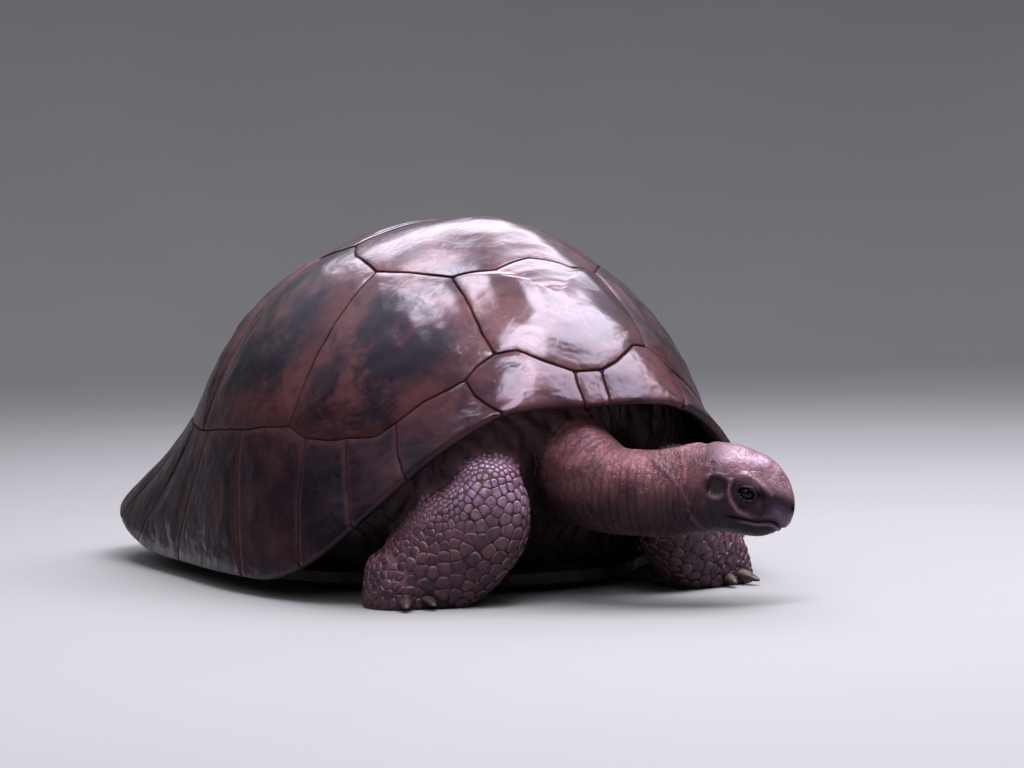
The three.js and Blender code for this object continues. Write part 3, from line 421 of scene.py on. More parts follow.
def dome_point(angle, height):
    s = SHELL
    angle, height = np.asarray(angle, float), np.asarray(height, float)
    turn = np.abs(angle)
    broad = 1 - s["broad_behind"] * np.cos(angle)
    squareness = mix(s["front_squareness"], s["rear_squareness"], smooth(1.2, 2, turn))
    oval_x, oval_y = oval(angle, s["half_length"], s["half_width"], squareness)
    corner = s["corner_flare"] * bell(turn / RAD - s["corner_angle"], s["corner_spread"])
    rim_x, rim_y = oval_x + corner * np.sin(angle), oval_y - corner * np.cos(angle)
    dome_length = mix(s["dome_front"], s["dome_rear"], smooth(1.2, 1.9, turn))
    dome_x, dome_y = oval(angle, dome_length, s["dome_half_width"], s["dome_squareness"])
    fullness = (
        s["front_fullness"]
        + (s["side_fullness"] - s["front_fullness"]) * smooth(20 * RAD, 80 * RAD, turn)
        + (s["rear_fullness"] - s["side_fullness"]) * smooth(105 * RAD, 170 * RAD, turn)
    )
    n = mix(2, fullness, smooth(0, 0.4, 1 - height))
    out = np.maximum(0, np.sin((1 - height) * math.pi / 2)) ** (2 / n)
    up = np.maximum(0, np.cos((1 - height) * math.pi / 2)) ** (2 / n)
    flare = np.exp(-((np.maximum(height, 0) / s["flare_reach"]) ** 1.3))
    low = rim_height(turn)
    return np.stack([
        broad * (dome_x * out + (rim_x - dome_x) * flare),
        s["apex_y"] + (dome_y - s["apex_y"]) * out + (rim_y - dome_y) * flare,
        low + (s["height"] - low) * up,
    ], axis=-1)


def disc_point(places):
    """The dome on the unit disc, which stays smooth over the top."""
    a, b = places[:, 0], places[:, 1]
    return dome_point(np.arctan2(a, -b), np.maximum(0, 1 - np.hypot(a, b)))


def disc_normal(places):
    step = 0.004
    radius = np.maximum(np.hypot(places[:, 0], places[:, 1]), 1e-9)
    p = places * np.minimum(1, (1 - 2 * step) / radius)[:, None]
    along_a = disc_point(p + [step, 0]) - disc_point(p - [step, 0])
    along_b = disc_point(p + [0, step]) - disc_point(p - [0, step])
    return unit(np.cross(along_a, along_b))


def to_disc(degrees, height):
    angle = np.asarray(degrees, float) * RAD
    radius = 1 - np.asarray(height, float)
    return np.stack([radius * np.sin(angle), -radius * np.cos(angle)], axis=-1)


# Corners and bends of the seams on the animal's left, as (degrees, height); the right mirrors it.
CORNERS = {
    "nuchal_low": (0.9, 0), "nuchal_top": (1.9, 0.145),
    "v1a": (8, 0.195), "v1b": (13, 0.24), "v1_corner": (18, 0.25),
    "v1c": (20.5, 0.33), "v1d": (23.5, 0.44), "v12": (29.5, 0.56), "v12_bend": (14, 0.545),
    "v2a": (40.8, 0.6), "v2b": (51.6, 0.625), "v2_side": (61.3, 0.635), "v2c": (80, 0.7),
    "v23": (93, 0.745), "v3_side": (113, 0.68), "v34": (140, 0.66), "v4_side": (148, 0.53),
    "v45": (162, 0.4), "v5a": (159.5, 0.27), "v5_side": (157, 0.16), "tail_top": (171, 0.135),
    "tail_low": (165, 0), "c12a": (64.2, 0.53), "c12b": (66.2, 0.42), "c12c": (67.6, 0.32),
    "c12_low": (68.4, 0.262), "c23a": (107, 0.46), "c23_low": (99.6, 0.232),
    "c34a": (137, 0.37), "c34_low": (124, 0.212),
    "m1_bend": (22.4, 0.23), "m12": (24.3, 0.203), "m12a": (22.2, 0.14), "m12b": (17.7, 0.06),
    "m12_low": (14.2, 0), "m2_bend": (33.7, 0.205), "m23": (39.9, 0.19), "m23a": (38.4, 0.1),
    "m23_low": (35, 0), "m3_bend": (44, 0.182), "m34": (52, 0.208), "m34a": (50, 0.1),
    "m34_low": (47.8, 0), "m45": (62.8, 0.232), "m45a": (62.6, 0.12), "m45_low": (61.6, 0),
    "m56": (83, 0.248), "m56_low": (79, 0), "m67": (96, 0.236), "m67_low": (92.5, 0),
    "m78": (109, 0.225), "m78_low": (106, 0), "m89": (120, 0.215), "m89_low": (119, 0),
    "m910": (136, 0.195), "m910_low": (132.5, 0), "m1011": (150, 0.172), "m1011_low": (147, 0),
}
MIDDLES = {"mid12": (0, 0.59), "mid23": (180, 0.952), "mid34": (180, 0.722), "mid45": (180, 0.426)}

# Plates that cross the middle: front point, left border from front to rear, rear point, swell.
MIDDLE_PLATES = [
    (None, "nuchal_low nuchal_top", None, 1),
    (None, "nuchal_top v1a v1b v1_corner v1c v1d v12 v12_bend", "mid12", 7),
    ("mid12", "v12_bend v12 v2a v2b v2_side v2c v23", "mid23", 5),
    ("mid23", "v23 v3_side v34", "mid34", 6),
    ("mid34", "v34 v4_side v45", "mid45", 6),
    ("mid45", "v45 v5a v5_side tail_top", None, 6),
    (None, "tail_top tail_low", None, 3),
]
# Plates of each side, corner by corner, with their swell.
SIDE_PLATES = [
    ("v1_corner v1c v1d v12 v2a v2b v2_side c12a c12b c12c c12_low m45 m34 m3_bend m23 m2_bend m12 "
     "m1_bend", 9),
    ("v2_side v2c v23 v3_side c23a c23_low m67 m56 c12_low c12c c12b c12a", 8),
    ("v3_side v34 v4_side c34a c34_low m89 m78 c23_low c23a", 8),
    ("v4_side v45 v5a v5_side m1011 m910 c34_low c34a", 7),
    ("nuchal_low nuchal_top v1a v1b v1_corner m1_bend m12 m12a m12b m12_low", 3),
    ("m12 m2_bend m23 m23a m23_low m12_low m12b m12a", 3),
    ("m23 m3_bend m34 m34a m34_low m23_low m23a", 3),
    ("m34 m45 m45a m45_low m34_low m34a", 3),
    ("m45 c12_low m56 m56_low m45_low m45a", 3),
    ("m56 m67 m67_low m56_low", 3),
    ("m67 c23_low m78 m78_low m67_low", 3),
    ("m78 m89 m89_low m78_low", 3),
    ("m89 c34_low m910 m910_low m89_low", 3),
    ("m910 m1011 m1011_low m910_low", 3),
    ("m1011 v5_side tail_top tail_low m1011_low", 3),
]
LARGE_SIDE_PLATES = 4          # the first ones; the others stand along the rim
SEAM_STEP = 6.0                # spacing of the points along a seam
SEAM_ROWS = np.array([0, 0.8, 1.7, 2.7, 4.0, 6.5, 11.0, 18.5])    # distances of the rows beside it
INNER_ROWS = {MIDDLE: 15, SIDE: 15, RIM: 7}                        # rows from there to the middle
RING_WAVES = {MIDDLE: 3.6, SIDE: 3.6, RIM: 2.0}                    # growth rings from border to middle
WAVER = 0.0035                 # of the seams, on the unit disc
BORDER_LIFT = 0.9              # of a plate's border over the plain dome
LOW_SEAMS = 0.55               # depth of the seams low on the flank, as a share of that above


def seam_points(start, end):
    """Points from one corner towards the next, the next one left out; the same from both ends."""
    flip = (end[0], end[1]) < (start[0], start[1])
    a, b = (end, start) if flip else (start, end)
    ends = dome_point(np.array([a[0], b[0]]) * RAD, np.array([a[1], b[1]]))
    count = max(1, round(float(np.linalg.norm(ends[0] - ends[1])) / SEAM_STEP))
    k = np.arange(count + 1) / count
    turn = (b[0] - a[0] + 180) % 360 - 180
    if min(a[1], b[1]) < 0.45:
        places = to_disc(a[0] + turn * k, mix(a[1], b[1], k))
    else:
        places = mix(to_disc(*a), to_disc(*b), k[:, None])
    return (places[::-1] if flip else places)[:-1]


def wavered(places):
    """Lets the seams waver a little, the same way for the plates on both sides."""
    points = disc_point(places)
    radius = np.hypot(places[:, 0], places[:, 1])
    free = smooth(1.0, 0.985, radius)[:, None]
    shift = np.stack([rough(points, 34, 5), rough(points, 34, 9)], axis=1)
    across = unit(np.stack([-places[:, 1], places[:, 0]], axis=1))
    shift = np.where(free > 0.01, shift * free, (shift[:, :1] * across))
    amount = WAVER * shift * smooth(0.05, 0.2, radius)[:, None]
    return places + amount * np.where(free > 0.01, 1, 0.3)


def shell_plates():
    """The outline of each plate on the disc, with its swell and its kind."""
    plates = []

    def outline(corners):
        pairs = zip(corners, corners[1:] + corners[:1])
        return wavered(np.concatenate([seam_points(*pair) for pair in pairs]))

    for front, left, rear, swell in MIDDLE_PLATES:
        names = left.split()
        corners = [MIDDLES[front]] if front else []
        corners += [CORNERS[name] for name in names]
        corners += [MIDDLES[rear]] if rear else []
        corners += [(-CORNERS[name][0], CORNERS[name][1]) for name in reversed(names)]
        plates.append((outline(corners), swell, MIDDLE))
    for i, (names, swell) in enumerate(SIDE_PLATES):
        for side in (1, -1):
            corners = [(CORNERS[name][0] * side, CORNERS[name][1]) for name in names.split()]
            plates.append((outline(corners), swell, SIDE if i < LARGE_SIDE_PLATES else RIM))
    return plates


def towards(places, centre, share):
    """Places part of the way from a plate's border to its middle, on the disc."""
    r1, r2 = np.hypot(places[:, 0], places[:, 1]), float(np.hypot(*centre))
    straight = mix(places, centre, share[:, None])
    a1 = np.arctan2(places[:, 0], -places[:, 1])
    turn = (math.atan2(centre[0], -centre[1]) - a1 + math.pi) % (2 * math.pi) - math.pi
    r, a = mix(r1, r2, share), a1 + turn * share
    bent = np.stack([r * np.sin(a), -r * np.cos(a)], axis=1)
    return np.where((np.minimum(r1, r2) < 0.55)[:, None], straight, bent)


def shell_surface(groove_depth, groove_width):
    """The points, triangles and masks of the whole shell, plate by plate."""
    points, faces, rim = [], [], []
    masks = {name: [] for name in ("seam", "ring", "kind")}
    total = 0
    for number, (outline, swell, kind) in enumerate(shell_plates()):
        at_rim = np.hypot(outline[:, 0], outline[:, 1]) > 0.9999
        centre = outline.mean(axis=0)
        border = disc_point(outline)
        reach = np.linalg.norm(border - disc_point(centre[None]), axis=1)
        inner = INNER_ROWS[kind]
        squeeze = np.minimum(1, 0.55 * reach / SEAM_ROWS[-1])
        shares = [np.zeros(len(outline))] + [d * squeeze / reach for d in SEAM_ROWS[1:]]
        last = shares[-1]
        shares += [last + (1 - last) * i / inner for i in range(1, inner)]
        places = np.concatenate([towards(outline, centre, k) for k in shares] + [centre[None]])
        share = np.concatenate(shares + [np.ones(1)])
        base = disc_point(places)
        closed = np.concatenate([border, border[:1]])
        free = at_rim & np.roll(at_rim, -1)
        seams = [path_distance(base, closed[i:i + 2]) for i in np.where(~free)[0]]
        distance = np.min(seams, axis=0)
        edge = smooth(0, groove_width, distance)
        fine = min(1.0, float(reach.mean()) / 110) ** 2
        lifted = BORDER_LIFT + swell * (1 - (1 - share) ** 2.1)
        wave = np.sin(2 * math.pi * (share * RING_WAVES[kind] + 0.3 * rough(base, 90, number)))
        depth = groove_depth * mix(LOW_SEAMS, 1.0, smooth(150, 260, base[:, 2]))
        relief = mix(-depth, lifted, edge) + 0.3 * bell(distance - 8, 5.0) * edge
        relief += fine * edge * (0.4 * wave * smooth(0.03, 0.2, share) * smooth(0.95, 0.7, share))
        relief += edge * (1.6 * rough(base, 95, 21 + number) + 0.3 * rough(base, 30, 40))
        if kind != RIM:
            relief += fine * (0.8 * smooth(0.84, 0.95, share) - 0.8 * bell(share - 0.82, 0.06))
        shown = base + disc_normal(places) * relief[:, None]
        points.append(shown)
        rings = total + np.arange(len(outline) * len(shares)).reshape(len(shares), -1)
        new = np.concatenate([grid_faces(rings), fan_faces(rings[-1], total + len(base) - 1)])
        x, y = outline[:, 0], outline[:, 1]
        area = float((x * np.roll(y, -1) - np.roll(x, -1) * y).sum())
        faces.append(new if area > 0 else new[:, ::-1])
        for i in np.where(at_rim)[0]:
            rim.append((math.atan2(outline[i, 0], -outline[i, 1]), total + i))
        masks["seam"].append(distance)
        masks["ring"].append(share)
        masks["kind"].append(np.full(len(base), kind))
        total += len(base)
    points = np.concatenate(points)
    faces = np.concatenate(faces)
    masks = {name: np.concatenate(values) for name, values in masks.items()}
    return points, faces, masks, rim


def welded(points, faces, masks, near=0.02):
    """Joins points that coincide."""
    key = np.round(points / near).astype(np.int64)
    _, first, back = np.unique(key, axis=0, return_index=True, return_inverse=True)
    back = back.ravel()
    faces = back[faces]
    keep = (faces[:, 0] != faces[:, 1]) & (faces[:, 1] != faces[:, 2]) & (faces[:, 0] != faces[:, 2])
    return points[first], faces[keep], {k: v[first] for k, v in masks.items()}, back


LIP = [(3.2, 2.4), (7.5, 3.0), (11, 1.0)]       # rows round the lip: how far in, and how far down
WALL_LEVELS = (0.02, 0.05, 0.1, 0.18, 0.3, 0.45, 0.62, 0.8)


def inner_wall(points, rim):
    """Rows of points from the rim round its lip and up the inside of the shell to the top."""
    order = sorted({index: angle for angle, index in rim}.items(), key=lambda pair: pair[1])
    index = np.array([pair[0] for pair in order])
    angle = np.array([pair[1] for pair in order])
    edge = points[index]
    here = to_disc(angle / RAD, np.zeros(len(angle)))
    normal = disc_normal(here)
    down = unit(dome_point(angle, np.zeros(len(angle))) - dome_point(angle, np.full(len(angle), 0.02)))
    rows = [edge - inwards * normal + low * down for inwards, low in LIP]
    for level in WALL_LEVELS:
        depth = mix(SHELL["lip"], SHELL["thickness"], smooth(0, 0.1, level))
        place = to_disc(angle / RAD, np.full(len(angle), level))
        rows.append(disc_point(place) - depth * disc_normal(place))
    return index, rows


def build_shell(settings):
    """The plates and the wall inside them as one closed piece."""
    points, faces, masks, rim = shell_surface(settings.groove_depth / MM, settings.groove_width / MM)
    points, faces, masks, back = welded(points, faces, masks)
    index, rows = inner_wall(points, [(angle, back[i]) for angle, i in rim])
    start = len(points)
    count = len(index)
    rings = [index] + [start + i * count + np.arange(count) for i in range(len(rows))]
    top = disc_point(np.array([[1e-6, 0]])) - [0, 0, SHELL["thickness"]]
    inside = np.concatenate([grid_faces(rings), fan_faces(rings[-1], start + len(rows) * count)])
    points = np.concatenate([points, *rows, top])
    lip = np.tile(index, len(LIP))
    extra = (len(rows) - len(LIP)) * count + 1
    for name, fill in (("seam", 40.0), ("ring", 0.3), ("kind", WALL)):
        masks[name] = np.concatenate([masks[name], masks[name][lip], np.full(extra, fill)])
    probe = faces[0]
    outside_turn = np.cross(points[probe[1]] - points[probe[0]], points[probe[2]] - points[probe[0]])
    if outside_turn @ (points[probe[0]] - [0, 0, 200]) < 0:
        faces = faces[:, ::-1]
    pairs = np.concatenate([faces[:, [0, 1]], faces[:, [1, 2]], faces[:, [2, 0]]])
    if (pairs == index[:2]).all(axis=1).any():
        inside = inside[:, ::-1]
    return piece_from("shell", points, np.concatenate([faces, inside]), masks)


# ---- lofts: neck, legs, tail and feet
# A row of cross-sections: x, y, z of the middle, half width, half heights above and below.

NECK = [
    (0, -330, 200, 86, 84, 92), (-4, -410, 196, 76, 80, 86), (-10, -475, 186, 66, 84, 76),
    (-8, -532, 172, 61, 76, 66), (8, -582, 162, 59, 60, 62), (38, -623, 159, 58, 58, 62),
    (68, -645, 160, 57, 58, 64),
]
FOREARM = [
    (-147, -512, 178, 45, 42, 44), (-150, -509, 152, 60, 48, 54), (-158, -498, 122, 73, 50, 59),
    (-178, -478, 92, 79, 52, 60), (-202, -460, 62, 77, 52, 56), (-230, -444, 34, 74, 52, 52),
]
UPPER_ARM = [
    (-150, -495, 146, 44, 42, 42), (-172, -410, 132, 54, 48, 50), (-192, -320, 140, 62, 56, 56),
]
HINDLEG = [
    (-190, 250, 150, 78, 70, 70), (-215, 330, 120, 74, 66, 66), (-238, 385, 82, 70, 58, 60),
    (-246, 408, 50, 66, 56, 56),
]
TAIL = [
    (0, 300, 130, 52, 44, 44), (2, 385, 112, 42, 34, 34), (8, 445, 84, 28, 24, 24),
    (20, 490, 56, 16, 14, 14), (34, 515, 38, 7, 6, 6),
]
FOOT = dict(length=120, width=150, height=62)
# Middle of each foot, its turn in degrees, and its claws.
FEET = {
    "forefoot_right": ((-232, -425), 24, 5), "forefoot_left": ((232, -425), -24, 5),
    "hindfoot_right": ((-252, 425), -14, 4), "hindfoot_left": ((252, 425), 14, 4),
}


def mirrored(sections):
    return [(-s[0], *s[1:]) for s in sections]


def refined(sections, steps):
    """A smooth run of cross-sections through the given ones."""
    table = np.array(sections, float)
    table = np.concatenate([2 * table[:1] - table[1:2], table, 2 * table[-1:] - table[-2:-1]])
    k = np.linspace(0, len(sections) - 1, steps * (len(sections) - 1) + 1)
    i = np.minimum(k.astype(int), len(sections) - 2)
    t = (k - i)[:, None]
    p0, p1, p2, p3 = (table[i + n] for n in range(4))
    return 0.5 * (
        2 * p1 + (p2 - p0) * t + (2 * p0 - 5 * p1 + 4 * p2 - p3) * t ** 2
        + (3 * p1 - p0 - 3 * p2 + p3) * t ** 3
    )


LOFT_SQUARENESS = 2.2


def loft(sections, upward=(0, 0, 1), sides=48, domes=(0.0, 0.0)):
    """A closed body through cross-sections: its points, triangles, and each point's place along it."""
    centres = sections[:, :3]
    tangent = unit(np.gradient(centres, axis=0))
    across = unit(np.cross(tangent, np.array(upward, float)))
    up = unit(np.cross(across, tangent))
    angle = np.arange(sides) * 2 * math.pi / sides
    e = 2 / LOFT_SQUARENESS
    c, s = power(np.cos(angle), e), power(np.sin(angle), e)
    points, along = [], []
    travelled = np.concatenate([[0], np.cumsum(np.linalg.norm(np.diff(centres, axis=0), axis=1))])

    def ring(i, scale, push):
        wide, high, low = sections[i, 3:6] * scale
        body = c[:, None] * wide * across[i] + np.where(s > 0, s * high, s * low)[:, None] * up[i]
        points.append(centres[i] + body + push * tangent[i])
        along.append(np.full(sides, travelled[i] + push))

    ends = [dome * sections[i, 3:6].min() for dome, i in zip(domes, (0, -1))]
    steps = np.arange(1, 6) * math.pi / 12
    if ends[0]:
        for t in steps[::-1]:
            ring(0, math.cos(t), -math.sin(t) * ends[0])
    for i in range(len(sections)):
        ring(i, 1, 0)
    if ends[1]:
        for t in steps:
            ring(len(sections) - 1, math.cos(t), math.sin(t) * ends[1])
    rings = np.arange(len(points) * sides).reshape(-1, sides)
    points = np.concatenate(points)
    tips = np.stack([points[rings[0]].mean(axis=0), points[rings[-1]].mean(axis=0)])
    faces = np.concatenate([
        grid_faces(rings), fan_faces(rings[0], len(points))[:, ::-1], fan_faces(rings[-1], len(points) + 1),
    ])
    along = np.concatenate([*along, [0, travelled[-1]]])
    points = np.concatenate([points, tips])
    return points, outward(points, faces), along


def foot_place(name, places):
    """From a foot's own axes, heading along -Y from its middle, to the model's."""
    (x, y), turn, _ = FEET[name]
    c, s = math.cos(turn * RAD), math.sin(turn * RAD)
    p = np.atleast_2d(np.asarray(places, float))
    return np.stack([c * p[:, 0] - s * p[:, 1] + x, s * p[:, 0] + c * p[:, 1] + y, p[:, 2]], axis=1)


def foot_pad(name):
    """The column of a foot, from under the ground, where it is cut off later, to the leg."""
    turn = FEET[name][1] * RAD
    length, width = FOOT["length"] / 2, FOOT["width"] / 2
    rows = [(0, -30, 1), (0, 8, 1), (0, 24, 1), (6, 46, 0.93), (10, FOOT["height"], 0.84)]
    table = [
        (*foot_place(name, (0, back, up))[0], width * share, length * share, length * share)
        for back, up, share in rows
    ]
    upward = (math.sin(turn), -math.cos(turn), 0)
    return loft(refined(table, 4), upward, sides=40, domes=(0.0, 0.5))


# ---- torso

TORSO = dict(
    right_hold=0.1, left_hold=0.27, side_hold=0.14, rear_hold=0.2,
    right_swell=46, left_swell=8, rear_swell=14,
    foot_front=-405, foot_rear=350, foot_width=312, foot_z=44,
)


def torso_body():
    """The skin between shell and underside, held inside the shell: points, triangles, share down."""
    t = TORSO
    angle = np.radians(np.arange(-180, 180, 2.5))
    turn = np.abs(angle)
    front = smooth(80 * RAD, 45 * RAD, turn)
    rear = smooth(110 * RAD, 150 * RAD, turn)
    left = smooth(-12 * RAD, 20 * RAD, angle)
    hold = (
        t["side_hold"] + (mix(t["right_hold"], t["left_hold"], left) - t["side_hold"]) * front
        + (t["rear_hold"] - t["side_hold"]) * rear
    )
    swell = mix(t["right_swell"], t["left_swell"], left) * front + t["rear_swell"] * rear
    reach = np.where(turn < math.pi / 2, -t["foot_front"], t["foot_rear"])
    x, y = oval(angle, reach, t["foot_width"], 2.4)
    low = np.stack([x, y, np.full(len(x), float(t["foot_z"]))], axis=1)
    away = unit(low * [1, 1, 0])

    def inner(level):
        place = to_disc(angle / RAD, level)
        return disc_point(place) - SHELL["thickness"] * 0.5 * disc_normal(place)

    high = inner(hold)
    rows = [inner(np.full(len(angle), level)) for level in (0.85, 0.7, 0.55, 0.4)]
    rows.append(inner(mix(hold, 0.4, 0.4)))
    shares = [0.0] * 5
    for k in np.linspace(0, 1, 11):
        rows.append(mix(high, low, k) + away * (swell * math.sin(math.pi * k))[:, None])
        shares.append(k)
    rings = np.arange(len(rows) * len(angle)).reshape(len(rows), -1)
    tips = np.array([disc_point(np.array([[1e-6, 0]]))[0] - [0, 0, 8], [0, 0, t["foot_z"]]])
    points = np.concatenate([*rows, tips])
    count = len(rows) * len(angle)
    faces = np.concatenate([
        grid_faces(rings), fan_faces(rings[0], count)[:, ::-1], fan_faces(rings[-1], count + 1),
    ])
    share = np.concatenate([np.repeat(shares, len(angle)), [0, 1]])
    return points, outward(points, faces), share


# ---- head
# Places on the head are millimetres forward of its joint with the neck, to its left, and up.

HEAD_BACK = np.array([97.0, -660.0, 178.0])
HEAD_TURN, HEAD_DIP = 60 * RAD, 15 * RAD
HEAD_FORWARD = np.array([
    math.cos(HEAD_DIP) * math.sin(HEAD_TURN), -math.cos(HEAD_DIP) * math.cos(HEAD_TURN), -math.sin(HEAD_DIP),
])
HEAD_LEFT = np.array([math.cos(HEAD_TURN), math.sin(HEAD_TURN), 0.0])
HEAD_UP = np.cross(HEAD_FORWARD, HEAD_LEFT)
HEAD_AXES = np.stack([HEAD_FORWARD, HEAD_LEFT, HEAD_UP])
# Forward, half width, crown, throat.
HEAD_SECTIONS = np.array([
    (-14, 55, 47, -78), (0, 54, 46, -78), (10, 56, 53, -76), (28, 58, 57, -70), (48, 57, 59, -64),
    (66, 53, 58, -61), (84, 47, 54.5, -60), (100, 41, 49, -58.5), (113, 35, 41, -54),
    (124, 29, 31.5, -47), (133, 22.5, 19.5, -39), (139.5, 15.5, 7, -33), (143, 8, -3, -25),
])
HEAD_SQUARENESS = 2.35
MOUTH = dict(corner=54, level=-35, groove=4.4)
EYE = dict(forward=74, left=38.0, up=0, radius=13.9, lid=16.6, length=12.8, height=8.4, tip=12)
EARDRUM = dict(forward=32, up=-1, radius=15)
NOSTRIL = dict(forward=140.0, left=13.0, up=-8.5, radius=3.8)
RING_DEPTH = 2.4               # of the fold under the eye


def head_place(places):
    return HEAD_BACK + places @ HEAD_AXES


def head_local(points):
    return (points - HEAD_BACK) @ HEAD_AXES.T


def curve_through(x, xs, ys):
    """A smooth curve through the table's values."""
    slope = np.gradient(ys, xs)
    i = np.clip(np.searchsorted(xs, x, side="right") - 1, 0, len(xs) - 2)
    h = xs[i + 1] - xs[i]
    t = (x - xs[i]) / h
    return (
        (2 * t ** 3 - 3 * t ** 2 + 1) * ys[i] + (t ** 3 - 2 * t ** 2 + t) * h * slope[i]
        + (3 * t ** 2 - 2 * t ** 3) * ys[i + 1] + (t ** 3 - t ** 2) * h * slope[i + 1]
    )


def head_size(forward):
    return tuple(curve_through(forward, HEAD_SECTIONS[:, 0], HEAD_SECTIONS[:, k]) for k in (1, 2, 3))


def mouth_height(forward):
    return MOUTH["level"] + 4 * smooth(92, 116, forward) - 7 * smooth(120, 134, forward)


def skull_angle(forward, up):
    """The angle from the throat, -90 degrees, to the crown, 90, at a height of the plain skull."""
    _, crown, throat = head_size(forward)
    share = (up - (crown + throat) / 2) / ((crown - throat) / 2)
    return np.arcsin(np.clip(power(share, HEAD_SQUARENESS / 2), -0.985, 0.985))


def head_grid():
    """Stations from the neck to the beak and, on each, angles from the crown to the throat."""
    stations = np.concatenate([
        np.arange(10, 48, 2.0), np.arange(48, 58, 1.4), np.arange(58, 92, 0.8), np.arange(92, 136, 1.3),
        np.array([136.4, 137.6, 138.8, 140, 141, 141.8, 142.5, 143]),
    ])
    f = stations[:, None]
    mouth = mouth_height(f)
    offsets = np.array([5.4, 3.8, 2.6, 1.7, 0.9, 0.0, -0.9, -1.7, -2.6, -3.8, -5.4])
    band = skull_angle(f, mouth + offsets)
    top = np.linspace(0, 1, 100)[None, :-1]
    low = np.linspace(0, 1, 19)[None, 1:]
    above = mix(math.pi / 2, band[:, :1], top + 0.06 * np.sin(2 * math.pi * top))
    below = mix(band[:, -1:], -math.pi / 2, low)
    return stations, np.concatenate([above, band, below], axis=1)


def face_relief(f, left, up, out_left, out_up, side):
    """Moves places of one side of the plain skull to the real face; also its colour masks."""
    shape = f.shape
    places = np.stack([f.ravel(), (side * left).ravel(), up.ravel()], axis=1)
    mouth = mouth_height(f)
    above = up - mouth
    # Mouth line, lips and jaw.
    open_ = smooth(MOUTH["corner"] - 6, MOUTH["corner"] + 8, f) * smooth(142, 130, f)
    rise = -MOUTH["groove"] * bell(above, 1.3) * open_
    rise += open_ * (2.6 * bell(above - 4.2, 2.9) + 2.0 * bell(above + 4.0, 2.6))
    rise += 2.2 * bell(above - 13, 7) * smooth(104, 128, f)
    rise -= 2.6 * bell(above + 10, 2.6) * open_ * smooth(134, 110, f)
    rise -= 1.6 * bell(above - 10.5, 2.4) * open_ * smooth(62, 80, f) * smooth(124, 104, f)
    jaw = np.hypot((f - 32) / 24, (up + 34) / 18)
    rise += 5.5 * bell(jaw, 1.0) * smooth(8, 20, f)

    def fold(path, width, depth):
        flat = np.stack([f.ravel(), np.zeros(f.size), up.ravel()], axis=1)
        return (depth * bell(path_distance(flat, side_line(path)), width)).reshape(shape)

    # Brow, folds round the eye and behind it, and the bumps of nose and crown.
    outer = smooth(8, 20, left)
    ring = fold([(50, 14), (49, 0), (56, -14), (68, -25), (86, -29), (104, -30)], 2.6, RING_DEPTH)
    ring = ring * smooth(102, 66, f)
    rise += outer * (
        fold([(66, 23), (80, 19), (94, 12), (106, 2)], 4.6, 5.4)
        - fold([(49, 10), (56, -6), (66, -17), (80, -21.5), (92, -20)], 1.6, 2.2)
        + ring
        - fold([(93, 2), (98, -6), (103, -14)], 1.8, 2.4)
        - fold([(108, 12), (112, 0), (118, -10), (126, -15)], 2.2, 1.8)
        - fold([(44, -8), (47, -26), (55, -37), (64, -42)], 1.6, 1.6)
        - fold([(20, 30), (25, 10), (22, -14), (30, -34), (42, -52)], 1.8, 1.8)
        - fold([(52, -36), (45, -46), (47, -58)], 1.5, 1.4)
        + fold([(12, 22), (16, 4), (15, -20), (20, -42)], 4.0, 2.0)
    )
    bump = np.hypot(f - 92, left - 22)
    rise += 2.6 * bell(bump, 11) * smooth(10, 30, up)
    rise += 1.5 * bell(np.hypot(f - 112, left - 14), 9) * smooth(5, 25, up)
    rise -= 1.2 * bell(left, 4.5) * smooth(60, 80, f) * smooth(128, 112, f) * smooth(20, 40, up)
    ear = np.hypot(f - EARDRUM["forward"], (up - EARDRUM["up"]) * 1.05) / EARDRUM["radius"]
    rise += outer * (-4.2 * smooth(1.0, 0.62, ear) + 1.7 * bell(ear - 1.22, 0.2))
    rise += 0.28 * rough(places, 5.5, 3, 2).reshape(shape)
    rise += 0.5 * rough(places, 16, 12).reshape(shape)
    left = left + out_left * rise
    up = up + out_up * rise
    # Lids round the eye, and the opening between them.
    df, du = f - EYE["forward"], up - EYE["up"]
    across = df * math.cos(EYE["tip"] * RAD) - du * math.sin(EYE["tip"] * RAD)
    high = df * math.sin(EYE["tip"] * RAD) + du * math.cos(EYE["tip"] * RAD)
    p = across / EYE["length"]
    q = np.hypot(p, high / (EYE["height"] * np.clip(1 - 0.22 * p ** 2, 0.3, 1)))
    snapped = np.where(q > 0.9, 1 + 0.1 * (q - 1), 0.93 + 0.1 * (q - 0.85))
    warp = np.where((q > 0.79) & (q < 1.11) & (left > 12), snapped / np.maximum(q, 1e-6), 1)
    f, up, q = f + df * (warp - 1), up + du * (warp - 1), q * warp
    df, du = df * warp, du * warp
    radius = np.hypot(df, du)
    lid = EYE["left"] + np.sqrt(np.clip(EYE["lid"] ** 2 - radius ** 2, 0, None))
    lid = np.where(radius < EYE["lid"], lid, -50)
    lid = lid - 0.9 * bell(q - 1.42, 0.07) + 0.9 * bell(q - 1.14, 0.12)
    soft = 2.6
    around = left - 3.4 * smooth(29, 19, radius)
    blend = np.clip(0.5 + (lid - around) / (2 * soft), 0, 1)
    lidded = mix(around, lid, blend) + soft * blend * (1 - blend)
    lidded = lidded - 0.9 * bell(radius - 19.5, 1.2)
    ball = EYE["left"] + np.sqrt(np.clip(EYE["radius"] ** 2 - radius ** 2, 0, None)) - 1.4
    near = smooth(30, 26, radius) * (left > 12)
    shown = np.where(near > 0, mix(left, lidded, near), left)
    hollow = smooth(0.985, 0.94, q) * (left > 12)
    left = mix(shown, np.minimum(ball, shown), hollow)
